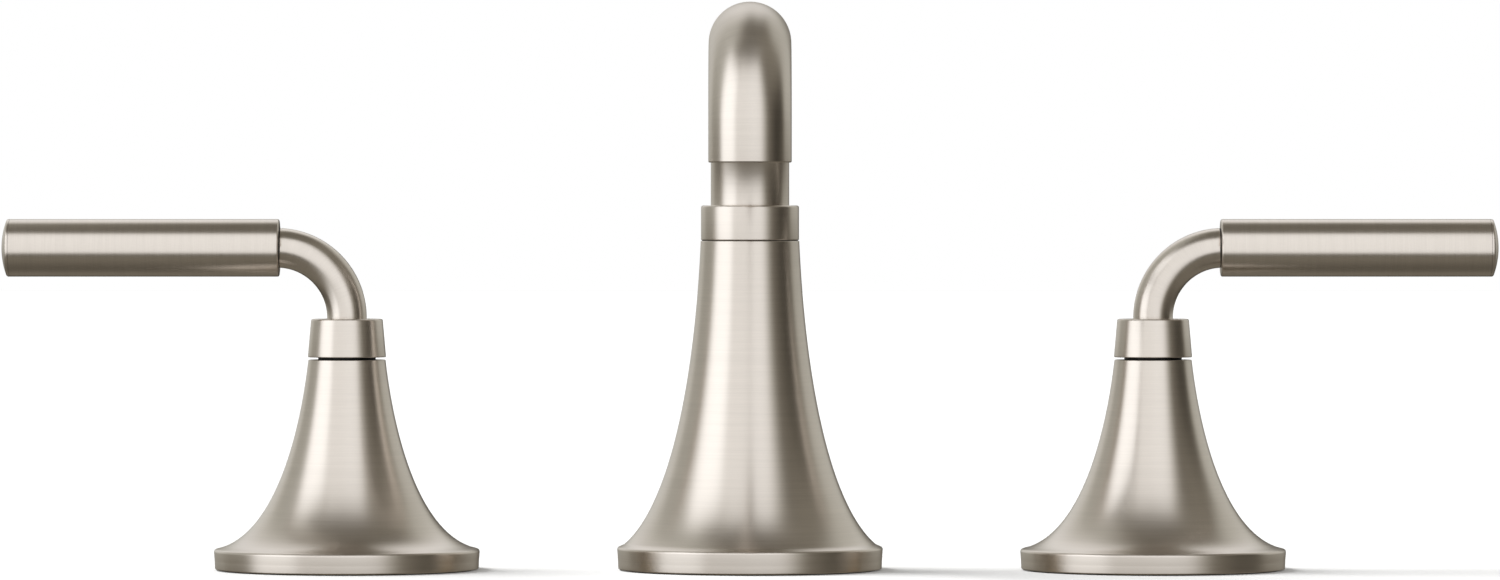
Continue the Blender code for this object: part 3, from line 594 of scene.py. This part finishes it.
def turned_metal(name, colour, roughness):
    """Bare turned or stamped metal for the hidden pieces, which have no UV map."""
    made = bpy.data.materials.new(name)
    made.use_nodes = True
    g = Graph(made.node_tree)
    place = g.add("ShaderNodeTexCoord").outputs["Object"]
    stretched = g.add("ShaderNodeMapping", {"Vector": place, "Scale": TURNED_GRAIN}).outputs[0]
    lines = g.add("ShaderNodeTexNoise", {"Vector": stretched, "Scale": 1.0, "Detail": 3.0}).outputs[0]
    blotches = g.add("ShaderNodeTexNoise", {"Vector": place, "Scale": BLOTCHES, "Detail": 4.0}).outputs[0]
    smoothest, roughest = (roughness + spread for spread in TURNED_SPREAD)
    rough = g.ramp(lines, *NOISE, smoothest, roughest)
    dark = tuple(c * TURNED_DARK for c in colour)
    shade = g.colour_mix(g.ramp(blotches, *BLOTCH_NOISE), (*dark, 1), (*colour, 1))
    bump = g.add("ShaderNodeBump", {"Strength": 0.3, "Distance": 0.00004, "Height": lines}).outputs[0]
    shader = g.add("ShaderNodeBsdfPrincipled", {
        "Base Color": shade,
        "Metallic": 1.0,
        "Roughness": rough,
        "Normal": bump,
    })
    g.add("ShaderNodeOutputMaterial", {"Surface": shader.outputs[0]})
    return made


# Meshes.

def rounded(corners, closed=True):
    """Outline of (radius, height, edge radius) corners, with an arc where there is an edge radius."""
    points = []
    count = len(corners)
    for i, corner in enumerate(corners):
        here = Vector(corner[:2])
        edge = corner[2] if len(corner) > 2 else 0
        at_end = not closed and i in (0, count - 1)
        if edge == 0 or at_end:
            points.append(tuple(here))
            continue
        before = (Vector(corners[i - 1][:2]) - here).normalized()
        after = (Vector(corners[(i + 1) % count][:2]) - here).normalized()
        half = before.angle(after) / 2
        reach = edge / math.tan(half)
        centre = here + (before + after).normalized() * (edge / math.sin(half))
        start = here + before * reach - centre
        end = here + after * reach - centre
        turn = start.angle_signed(end)
        for k in range(ARC_STEPS + 1):
            step = start.copy()
            step.rotate(Matrix.Rotation(-turn * k / ARC_STEPS, 2))
            points.append(tuple(centre + step))
    return points


def curve_points(points, steps):
    """Points along a cubic curve of four (radius, height) points, with both ends."""
    a, b, c, d = (Vector(p) for p in points)
    found = []
    for i in range(steps + 1):
        t = i / steps
        u = 1 - t
        found.append(tuple(a * u**3 + b * 3 * u * u * t + c * 3 * u * t * t + d * t**3))
    return found


def finish_mesh(name, made, look, body, nodes):
    mesh = bpy.data.meshes.new(name)
    made.to_mesh(mesh)
    made.free()
    mesh.shade_smooth()
    mesh.set_sharp_from_angle(angle=math.radians(SHARP))
    mesh.materials.append(look)
    obj = bpy.data.objects.new(name, mesh)
    bpy.context.collection.objects.link(obj)
    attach(obj, body)
    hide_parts(*nodes)


def skin(rings, turns, closed, matrix=Matrix()):
    """Mesh over a row of rings (centre, direction, radius and, where they aren't round, shape).
    Its UVs run round the ring in x and along the row in y, in millimetres."""
    made = bmesh.new()
    uv = made.loops.layers.uv.new("turn")
    rows = []
    lengths = []
    run = 0.0
    last = None
    # Every ring starts on the same side of the piece, so that the walls between them don't twist.
    leans = any(abs(ring[1].x) > UPRIGHT for ring in rings)
    across = Vector((0, 1, 0)) if leans else Vector((1, 0, 0))
    for centre, direction, radius, *rest in rings:
        shape = rest[0] if rest else None
        up = direction.cross(across)
        edge = centre + across * radius
        if last is not None:
            run += (edge - last).length
        last = edge
        lengths.append(run)
        if radius == 0:
            rows.append([made.verts.new(matrix @ (centre * MM))])
            continue
        row = []
        for i in range(turns):
            angle = 2 * math.pi * i / turns
            reach = radius * shape(angle) if shape else radius
            point = centre + across * reach * math.cos(angle) + up * reach * math.sin(angle)
            row.append(made.verts.new(matrix @ (point * MM)))
        rows.append(row)
    pairs = [(k, k + 1) for k in range(len(rows) - 1)]
    if closed:
        pairs.append((len(rows) - 1, 0))
        lengths.append(run)
    for a, b in pairs:
        low, high = rows[a], rows[b]
        y_low = lengths[a]
        y_high = lengths[b] if b > a else lengths[-1]
        for i in range(turns):
            k = (i + 1) % turns
            picks = [(low, i, i, y_low), (low, k, i + 1, y_low)]
            picks += [(high, k, i + 1, y_high), (high, i, i, y_high)]
            corners = []
            marks = []
            for row, index, step, y in picks:
                vert = row[index % len(row)]
                if vert not in corners:
                    corners.append(vert)
                    marks.append((step / turns, y))
            if len(corners) < 3:
                continue
            face = made.faces.new(corners)
            for loop, mark in zip(face.loops, marks):
                loop[uv].uv = mark
    bmesh.ops.recalc_face_normals(made, faces=made.faces)
    return made


def turned(outline, turns=TURNS, matrix=Matrix()):
    """Mesh turned round Z from (radius, height) points: a ring, unless it starts and ends on the axis."""
    rings = [(UP * height, UP, radius) for radius, height in outline]
    solid = outline[0][0] == 0 and outline[-1][0] == 0
    return skin(rings, turns, not solid, matrix)


def along_x(x, side, height):
    """Places a piece turned round Z so that its Z runs outward along X."""
    return Matrix.Translation(Vector((x, 0, height)) * MM) @ Matrix.Rotation(side * math.pi / 2, 4, "Y")


def at(x, y=0.0):
    return Matrix.Translation(Vector((x, y, 0)) * MM)


# Shown pieces.

def trumpet(curve, top, bore, inside):
    """Closed outline of a trumpet-shaped escutcheon: outer curve, flange, and a hollow inside."""
    outer = curve_points(curve, TRUMPET_STEPS)
    foot = curve[3][1]
    inner_edge, outer_edge = RIM_EDGES
    head = rounded([
        (bore, top - RIM_DEPTH),
        (bore, top, inner_edge),
        (outer[0][0] - RIM_STEP, top, outer_edge),
        outer[0],
    ], closed=False)[1:-1]
    lower = rounded([
        outer[-2],
        (FLANGE_R, foot - FLANGE_DROP, FLANGE_EDGE),
        (FLANGE_R - FLANGE_BEND_INSET, FLANGE_BEND_Z, FLANGE_BEND_EDGE),
        (FLANGE_R - FLANGE_FOOT_INSET, FLANGE_FOOT, FLANGE_FOOT_EDGE),
        (POCKET_R, FLANGE_FOOT),
        (POCKET_R, POCKET_ROOF),
        (HOLLOW_R, POCKET_ROOF),
        (HOLLOW_R, HOLLOW_START),
    ], closed=False)[1:-1]
    return head + outer[:-1] + lower + [(HOLLOW_R, HOLLOW_START)] + inside


def spout_base(look):
    made = turned(trumpet(SPOUT_TRUMPET, SPOUT_BASE_TOP, SPOUT_BASE_BORE_R, SPOUT_HOLLOW))
    finish_mesh("spout_base_shell", made, look, "fixed", ["spout_base"])


def escutcheon(prefix, x, look):
    outline = trumpet(HANDLE_TRUMPET, HANDLE_CONE_TOP, HANDLE_BORE_R, HANDLE_HOLLOW)
    made = turned(outline, matrix=at(x))
    finish_mesh(f"{prefix}_escutcheon_shell", made, look, "fixed", [f"{prefix}_escutcheon"])


def collar(look):
    bore = TUBE_R + COLLAR_PLAY
    foot_edge, top_edge, bore_edge = COLLAR_EDGES
    outline = rounded([
        (bore, COLLAR_FOOT),
        (COLLAR_R, COLLAR_FOOT, foot_edge),
        (COLLAR_R, COLLAR_TOP, top_edge),
        (bore, COLLAR_TOP, bore_edge),
    ])
    made = turned(outline)
    finish_mesh("spout_collar_ring", made, look, "swivel_spout", ["spout_collar"])


def tube_route():
    """Middle line of the spout's tube past its straight foot, as (point, direction) along both bends."""
    axis_top = TUBE_TOP - TUBE_R
    rear = (Vector((0, -REAR_BEND, axis_top - REAR_BEND)), REAR_BEND, 0.0)
    front = (Vector((0, FRONT_BEND - REACH, axis_top - FRONT_BEND)), FRONT_BEND, math.pi / 2)
    route = []
    for centre, bend, start in (rear, front):
        for i in range(BEND_STEPS + 1):
            angle = start + math.pi / 2 * i / BEND_STEPS
            out = Vector((0, math.cos(angle), math.sin(angle)))
            ahead = Vector((0, -math.sin(angle), math.cos(angle)))
            route.append((centre + out * bend, ahead))
    return route


def spout_tube(look):
    route = tube_route()
    mouth = Vector((0, -REACH, OUTLET_Z))
    outer = [(UP * TUBE_FOOT, UP, TUBE_R)]
    outer += [(point, ahead, TUBE_R) for point, ahead in route]
    for i in range(ARC_STEPS + 1):
        angle = math.pi / 2 * i / ARC_STEPS
        rise = UP * OUTLET_EDGE * (1 - math.sin(angle))
        outer.append((mouth + rise, DOWN, TUBE_R - OUTLET_EDGE * (1 - math.cos(angle))))
    inner = [
        (mouth, DOWN, MOUTH_R + MOUTH_BEVEL),
        (mouth + UP * MOUTH_BEVEL, DOWN, MOUTH_R),
        (mouth + UP * MOUTH_DEPTH, DOWN, MOUTH_R),
        (mouth + UP * MOUTH_DEPTH, DOWN, TUBE_BORE_R),
    ]
    inner += [(point, ahead, TUBE_BORE_R) for point, ahead in reversed(route)]
    inner += [(UP * TUBE_FOOT, UP, TUBE_BORE_R)]
    made = skin(outer + inner, TUBE_TURNS, True)
    finish_mesh("spout_tube_bent", made, look, "swivel_spout", ["spout_tube"])


def hub(prefix, x, look):
    bore_edge, foot_edge, top_edge, hole_edge = HUB_EDGES
    outline = rounded([
        (HUB_BORE_R, HUB_FOOT, bore_edge),
        (HUB_FOOT_R, HUB_FOOT, foot_edge),
        (HUB_TOP_R, HUB_TOP, top_edge),
        (ARM_R + ARM_PLAY, HUB_TOP, hole_edge),
        (ARM_R + ARM_PLAY, HUB_FLOOR),
        (HUB_BORE_R, HUB_FLOOR),
    ])
    made = union_or_cut(turned(outline, matrix=at(x)), [screw_hole(x)], "DIFFERENCE")
    finish_mesh(f"{prefix}_hub_turned", made, look, f"{prefix}_lever", [f"{prefix}_hub"])


def lever_arm(prefix, x, side, look):
    out = Vector((side, 0, 0))
    bend = out * ARM_BEND + UP * (LEVER_Z - ARM_BEND)
    rings = [(UP * ARM_FOOT, UP, 0), (UP * ARM_FOOT, UP, ARM_R)]
    bend_end = SEAL_START - ARM_BEND_MARGIN
    for i in range(BEND_STEPS + 1):
        angle = math.acos(1 - bend_end / ARM_BEND) * i / BEND_STEPS
        centre = bend - out * ARM_BEND * math.cos(angle) + UP * ARM_BEND * math.sin(angle)
        rings.append((centre, out * math.sin(angle) + UP * math.cos(angle), ARM_R))
    for along, radius in (
        (SEAL_START, ARM_R - ARM_STEP),
        (SEAL_START, GROOVE_R),
        (GROOVE_END, GROOVE_R),
        (GROOVE_END, ARM_R),
        (ARM_END, ARM_R),
        (ARM_END, 0),
    ):
        rings.append((out * along + UP * LEVER_Z, out, radius))
    made = skin(rings, TUBE_TURNS, False, at(x))
    body = f"{prefix}_lever"
    finish_mesh(f"{prefix}_arm_bent", made, look, body, [f"{prefix}_lever_arm"])


def grip(prefix, x, side, look):
    outline = rounded([
        (GRIP_BORE_R, GRIP_BORE_END),
        (GRIP_BORE_R, GRIP_MOUTH_END),
        (GRIP_MOUTH_R, GRIP_MOUTH_END),
        (GRIP_MOUTH_R, GRIP_START, GRIP_MOUTH_EDGE),
        (GRIP_R, GRIP_START, GRIP_EDGE),
        (GRIP_R, GRIP_END, GRIP_END_EDGE),
        (CAP_SOCKET_R, GRIP_END),
        (CAP_SOCKET_R, CAP_SOCKET_END),
    ], closed=False)
    outline = [(0, GRIP_BORE_END), *outline, (0, CAP_SOCKET_END)]
    made = turned(outline, matrix=along_x(x, side, LEVER_Z))
    body = f"{prefix}_lever"
    finish_mesh(f"{prefix}_grip_turned", made, look, body, [f"{prefix}_lever_grip"])


def seal_ring(prefix, x, side, look):
    low = SEAL_START + SEAL_PLAY
    high = GRIP_MOUTH_END
    outline = rounded([(SEAL_BORE_R, low), (SEAL_R, low, SEAL_EDGE), (SEAL_R, high), (SEAL_BORE_R, high)])
    made = turned(outline, matrix=along_x(x, side, LEVER_Z))
    body = f"{prefix}_lever"
    finish_mesh(f"{prefix}_seal_moulded", made, look, body, [f"{prefix}_reveal_ring"])


def grip_cap(prefix, x, side, look):
    start = GRIP_END + SEAM
    tip = LEVER_TIP - CAP_PLAY
    rise = CAP_DOME_R - math.sqrt(CAP_DOME_R**2 - GRIP_R**2)
    guide = GRIP_R - CAP_GUIDE
    corner = rounded([
        (GRIP_R, start),
        (GRIP_R, tip - rise, CAP_FILLET),
        (guide, dome_height(tip, guide)),
    ], closed=False)
    joined = corner[-2][0]
    radii = [joined * (1 - i / DOME_STEPS) for i in range(1, DOME_STEPS)]
    dome = [(radius, dome_height(tip, radius)) for radius in radii]
    plug = [(0, CAP_PLUG_END), (CAP_PLUG_R, CAP_PLUG_END), (CAP_PLUG_R, start)]
    made = turned([*plug, *corner[:-1], *dome, (0, tip)], matrix=along_x(x, side, LEVER_Z))
    body = f"{prefix}_lever"
    finish_mesh(f"{prefix}_cap_domed", made, look, body, [f"{prefix}_lever_cap"])


def dome_height(tip, radius):
    return tip - CAP_DOME_R + math.sqrt(CAP_DOME_R**2 - radius**2)


def hexagon(angle):
    """How much further out a hexagon's side lies than its flats, at an angle."""
    sector = math.radians(60)
    return 1 / math.cos((angle + sector / 2) % sector - sector / 2)


def rounds(outline):
    return [(UP * height, UP, radius) for radius, height in outline]


def nut_side(flat, low, high):
    """Rings of a nut's six sides from low to high, with the corners turned off at both faces."""
    depths = [*NUT_DEPTHS, NUT_LAST_DEPTH * flat]

    def ring(height, depth):
        limit = NUT_FACE + depth * NUT_SLOPE / flat
        return UP * height, UP, flat, lambda angle: min(hexagon(angle), limit)

    return [ring(low + d, d) for d in depths] + [ring(high - d, d) for d in reversed(depths)]


def thread(radius, pitch, low, high):
    """Rings of a screw thread, whose ridge climbs round the piece and runs out at both ends."""
    depth = THREAD_DEPTH * pitch
    steps = max(2, round((high - low) / pitch * THREAD_STEPS))

    def ring(height):
        fade = min(1.0, (height - low) / pitch, (high - height) / pitch)

        def shape(angle):
            ridge = abs(2 * ((height / pitch - angle / (2 * math.pi)) % 1) - 1)
            return 1 - depth * (1 - fade * ridge) / radius

        return UP * height, UP, radius, shape

    return [ring(low + (high - low) * k / steps) for k in range(steps + 1)]


def union_or_cut(made, others, operation):
    """Joins other meshes to a mesh, or cuts them out of it, and gives the new mesh."""
    holders = []
    for mesh in [made, *others]:
        data = bpy.data.meshes.new("shaping")
        mesh.to_mesh(data)
        mesh.free()
        holder = bpy.data.objects.new("shaping", data)
        bpy.context.collection.objects.link(holder)
        holders.append(holder)
    body = holders[0]
    for other in holders[1:]:
        modifier = body.modifiers.new("shape", "BOOLEAN")
        modifier.operation = operation
        modifier.object = other
        modifier.solver = "MANIFOLD"
    bpy.context.view_layer.update()
    shaped = body.evaluated_get(bpy.context.evaluated_depsgraph_get())
    result = bmesh.new()
    result.from_mesh(shaped.to_mesh())
    shaped.to_mesh_clear()
    for holder in holders:
        data = holder.data
        bpy.data.objects.remove(holder)
        bpy.data.meshes.remove(data)
    return result


def bar(radius, start, end, matrix, turns=BAR_TURNS):
    return turned([(0, start), (radius, start), (radius, end), (0, end)], turns, matrix)


# Hardware round and under the deck.

def gaskets(look):
    places = {"spout_base_gasket": 0}
    places.update({f"{prefix}_escutcheon_gasket": x for prefix, (x, side) in HANDLES.items()})
    inner, outer = GASKET_R
    for name, x in places.items():
        outline = ring_outline(inner, outer, 0, GASKET_THICK, GASKET_EDGE)
        finish_mesh(f"{name}_moulded", turned(outline, matrix=at(x)), look, "fixed", [name])


def ring_outline(inner, outer, low, high, edge):
    return rounded([(inner, low, edge), (outer, low, edge), (outer, high, edge), (inner, high, edge)])


def ring_piece(name, inner, outer, low, high, edge, look, x):
    outline = ring_outline(inner, outer, low, high, edge)
    finish_mesh(f"{name}_turned", turned(outline, RING_TURNS, at(x)), look, "fixed", [name])


def thrust_washer(look):
    """Slip washer whose rim shows as the dark line under the collar."""
    rim = COLLAR_R - SLIP_INSET
    low = SPOUT_BASE_TOP + SLIP_PLAY
    high = COLLAR_FOOT - SLIP_PLAY
    outline = [
        (SLIP_BORE_R, SLIP_FOOT),
        (SLIP_FOOT_R, SLIP_FOOT),
        (SLIP_FOOT_R, low),
        (rim, low),
        (rim, high),
        (SLIP_BORE_R, high),
    ]
    made = turned(outline)
    finish_mesh("spout_thrust_washer_moulded", made, look, "fixed", ["spout_thrust_washer"])


def clamp(prefix, x, thread_r, washer_r, flat, looks):
    """Rubber washer, steel washer and nut under the deck."""
    bore = thread_r + THREAD_PLAY
    for kind, (start, end), edge, slot in (
        ("rubber_washer", RUBBER_WASHER, RUBBER_EDGE, "black_rubber"),
        ("steel_washer", STEEL_WASHER, STEEL_EDGE, "plain_steel"),
    ):
        ring_piece(f"{prefix}_{kind}", bore, washer_r, -DECK - end, -DECK - start, edge, looks[slot], x)
    start, end = MOUNTING_NUT
    nut(f"{prefix}_mounting_nut", x, bore, flat, -DECK - end, -DECK - start, looks["raw_brass"])


def nut(name, x, bore, flat, low, high, look):
    rings = rounds([(bore, low + NUT_BEVEL), (bore + NUT_BEVEL, low)])
    rings += nut_side(flat, low, high)
    rings += rounds([(bore + NUT_BEVEL, high), (bore, high - NUT_BEVEL)])
    made = skin(rings, RING_TURNS, True, at(x))
    finish_mesh(f"{name}_milled", made, look, "fixed", [name])


def bonnet_nut(prefix, x, look):
    low, high = BONNET
    rings = rounds([
        (BONNET_HOLE_R, BONNET_ROOF),
        (BONNET_R, BONNET_ROOF),
        (BONNET_R, low + BONNET_BEVEL),
        (BONNET_R + BONNET_BEVEL, low),
    ])
    rings += nut_side(BONNET_FLAT, low, high)
    rings += rounds([(BONNET_HOLE_R + BONNET_HOLE_BEVEL, high), (BONNET_HOLE_R, high - BONNET_HOLE_BEVEL)])
    made = skin(rings, RING_TURNS, True, at(x))
    finish_mesh(f"{prefix}_bonnet_nut_milled", made, look, "fixed", [f"{prefix}_bonnet_nut"])


def spout_shank(look):
    foot = SHANK_THREAD[0]
    neck, post_foot = SHANK_UPPER_THREAD
    rings = rounds([(SHANK_BORE_R, foot), (SHANK_START_R, foot)])
    rings += thread(SHANK_R, PITCH, *SHANK_THREAD)
    rings += rounds([(radius, neck) for radius in SHANK_NECK_R])
    rings += thread(SHANK_UPPER_R, PITCH, *SHANK_UPPER_THREAD)
    post = [(POST_R, post_foot)]
    for low, high in POST_GROOVES:
        post += [(POST_R, low), (POST_GROOVE_R, low), (POST_GROOVE_R, high), (POST_R, high)]
    rings += rounds(post + POST_TOP)
    made = skin(rings, SHANK_TURNS, True)
    finish_mesh("spout_shank_threaded", made, look, "fixed", ["spout_shank"])


def port(x, height, side):
    """A threaded branch that leaves a body sideways, and the bore for it."""
    matrix = along_x(x, side, height)
    start, neck_end = PORT_NECK
    rings = rounds([(0, start), (PORT_NECK_R, start), (PORT_NECK_R, neck_end)])
    rings += thread(PORT_R, PORT_PITCH, *PORT_THREAD) + rounds([(0, PORT_THREAD[1])])
    return skin(rings, BAR_TURNS, False, matrix), bar(PORT_BORE_R, *PORT_BORE, matrix)


def spout_tee(look):
    made = turned(rounded(TEE, closed=False), RING_TURNS)
    ports = [port(0, TEE_PORT_Z, side) for side in (-1, 1)]
    made = union_or_cut(made, [branch for branch, bore in ports], "UNION")
    made = union_or_cut(made, [bore for branch, bore in ports], "DIFFERENCE")
    finish_mesh("spout_tee_cast", made, look, "fixed", ["spout_tee"])


def valve_body(prefix, x, side, look):
    foot = INLET_THREAD[0]
    top = VALVE_THREAD[1]
    rings = rounds([(0, foot), (INLET_START_R, foot)])
    rings += thread(INLET_R, PITCH, *INLET_THREAD) + rounds([VALVE_BELT[0]])
    rings += rounds(rounded(VALVE_BELT, closed=False)[1:])
    rings += thread(VALVE_R, PITCH, *VALVE_THREAD)
    rings += rounds([(VALVE_BORE_R, top), (VALVE_BORE_R, VALVE_SEAT), (0, VALVE_SEAT)])
    made = skin(rings, VALVE_TURNS, False, at(x))
    branch, bore = port(x, VALVE_PORT_Z, -side)
    made = union_or_cut(made, [branch], "UNION")
    inlet = bar(PASSAGE_R, *INLET_PASSAGE, at(x + side * PASSAGE_OUT), PASSAGE_TURNS)
    outlet = bar(PASSAGE_R, *OUTLET_PASSAGE, at(x - side * PASSAGE_OUT), PASSAGE_TURNS)
    made = union_or_cut(made, [bore, inlet, outlet], "DIFFERENCE")
    finish_mesh(f"{prefix}_valve_body_threaded", made, look, "fixed", [f"{prefix}_valve_body"])


def back_of(x):
    """Places a piece turned round Z so that its Z runs towards the back at the set screw's height."""
    return Matrix.Translation(Vector((x, 0, SCREW_Z)) * MM) @ Matrix.Rotation(-math.pi / 2, 4, "X")


def screw_hole(x):
    return bar(SCREW_HOLE_R, *SCREW_HOLE, back_of(x))


def hub_insert(prefix, x, look):
    made = turned(rounded(HUB_INSERT, closed=False), RING_TURNS, at(x))
    made = union_or_cut(made, [screw_hole(x)], "DIFFERENCE")
    body = f"{prefix}_lever"
    finish_mesh(f"{prefix}_hub_insert_moulded", made, look, body, [f"{prefix}_hub_insert"])


def set_screw(prefix, x, look):
    """Grub screw with a hexagon socket."""
    tip, end = SCREW
    rings = rounds([(0, tip), (SCREW_TIP_R, tip)])
    rings += thread(SCREW_R, SCREW_PITCH, *SCREW_THREAD)
    rings += rounds([(SCREW_END_R, end)])
    rings += [(UP * height, UP, SOCKET_R, hexagon) for height in (end, SOCKET_FLOOR)]
    rings += rounds([(0, SOCKET_FLOOR)])
    made = skin(rings, BAR_TURNS, False, back_of(x))
    body = f"{prefix}_lever"
    finish_mesh(f"{prefix}_set_screw_threaded", made, look, body, [f"{prefix}_set_screw"])


def aerator(looks):
    """Housing with a rolled lip, its washer, and the insert with its honeycomb."""
    place = at(0, -REACH)
    foot, top = AERATOR
    ledge = foot + AERATOR_LIP
    lip_edge, foot_edge, top_edge, ledge_edge = AERATOR_EDGES
    outline = rounded([
        (AERATOR_LIP_R, foot, lip_edge),
        (AERATOR_R, foot, foot_edge),
        (AERATOR_R, top, top_edge),
        (AERATOR_BORE_R, top),
        (AERATOR_BORE_R, ledge),
        (AERATOR_LIP_R, ledge, ledge_edge),
    ])
    made = turned(outline, RING_TURNS, place)
    nickel = looks["brushed_nickel"]
    finish_mesh("aerator_housing_turned", made, nickel, "swivel_spout", ["aerator_housing"])
    low, high = (top + rise for rise in AERATOR_WASHER_RISE)
    outline = ring_outline(*AERATOR_WASHER_R, low, high, AERATOR_WASHER_EDGE)
    made = turned(outline, RING_TURNS, place)
    rubber = looks["black_rubber"]
    finish_mesh("aerator_washer_turned", made, rubber, "swivel_spout", ["aerator_washer"])
    low, high = INSERT
    inner, outer = INSERT_R
    foot_edge, top_edge = INSERT_EDGES
    outline = rounded([
        (inner, low, foot_edge),
        (outer, low, foot_edge),
        (outer, high, top_edge),
        (inner, high, top_edge),
    ])
    rim = turned(outline, RING_TURNS, place)
    made = honeycomb(CELLS_R, *(low + rise for rise in CELLS_RISE), place)
    data = bpy.data.meshes.new("rim")
    rim.to_mesh(data)
    rim.free()
    made.from_mesh(data)
    bpy.data.meshes.remove(data)
    nylon = looks["white_nylon"]
    finish_mesh("aerator_insert_moulded", made, nylon, "swivel_spout", ["aerator_insert"])


def honeycomb(radius, low, high, matrix):
    """A disc of open six-sided cells."""
    made = bmesh.new()
    pitch = CELL_R * math.sqrt(3)
    reach = int(radius / CELL_R) + 1
    angles = [math.radians(30 + 60 * k) for k in range(6)]
    seen = {}

    def corner(x, y):
        key = (round(x, 3), round(y, 3))
        if key not in seen:
            seen[key] = made.verts.new(matrix @ (Vector((x, y, low)) * MM))
        return seen[key]

    for row in range(-reach, reach + 1):
        for column in range(-reach, reach + 1):
            x = pitch * (column + 0.5 * (row % 2))
            y = 1.5 * CELL_R * row
            if math.hypot(x, y) > radius - CELL_R * CELL_MARGIN:
                continue
            made.faces.new([corner(x + CELL_R * math.cos(a), y + CELL_R * math.sin(a)) for a in angles])
    # An inset needs the faces' normals.
    made.normal_update()
    bmesh.ops.inset_individual(made, faces=made.faces[:], thickness=CELL_WALL * MM)
    openings = [face for face in made.faces if len(face.verts) == 6]
    bmesh.ops.delete(made, geom=openings, context="FACES_ONLY")
    raised = bmesh.ops.extrude_face_region(made, geom=made.faces[:])
    up = [thing for thing in raised["geom"] if isinstance(thing, bmesh.types.BMVert)]
    bmesh.ops.translate(made, verts=up, vec=UP * (high - low) * MM)
    bmesh.ops.recalc_face_normals(made, faces=made.faces)
    return made


def dress_nodes(looks):
    """Gives every CAD node a procedural material by its slot in the record."""
    slots = {part["node"]: part["material_slot"] for part in frame["record"]["subparts"]}
    for name, obj in frame["nodes"].items():
        look = looks[slots[name]]
        if not obj.material_slots:
            obj.data.materials.append(look)
        for place in obj.material_slots:
            place.material = look


def build():
    build_camera()
    build_world()
    build_floor()
    build_lamp()
    nickel = brushed("hairline_nickel", NICKEL, BRUSH_ROUGHNESS, BRUSH_ANISOTROPY)
    looks = {slot: turned_metal(**values) for slot, values in METALS.items()}
    looks.update({slot: moulded(slot, **values) for slot, values in MOULDED.items()})
    dress_nodes(looks)
    spout_base(nickel)
    collar(nickel)
    spout_tube(nickel)
    for prefix, (x, side) in HANDLES.items():
        escutcheon(prefix, x, nickel)
        hub(prefix, x, nickel)
        lever_arm(prefix, x, side, nickel)
        grip(prefix, x, side, nickel)
        grip_cap(prefix, x, side, nickel)
        seal_ring(prefix, x, side, looks["black_plastic"])
        hub_insert(prefix, x, looks["black_plastic"])
        set_screw(prefix, x, looks["plain_steel"])
        valve_body(prefix, x, side, looks["raw_brass"])
        bonnet_nut(prefix, x, looks["raw_brass"])
        nut(f"{prefix}_upper_nut", x, VALVE_R + THREAD_PLAY, VALVE_FLAT, *UPPER_NUT, looks["raw_brass"])
        clamp(prefix, x, VALVE_R, VALVE_WASHER_R, VALVE_FLAT, looks)
    gaskets(looks["black_rubber"])
    thrust_washer(looks["black_plastic"])
    clamp("spout", 0, SHANK_R, SHANK_WASHER_R, SHANK_FLAT, looks)
    spout_shank(looks["raw_brass"])
    spout_tee(looks["raw_brass"])
    aerator(looks)
    bpy.context.scene.view_settings.view_transform = "Standard"


build()
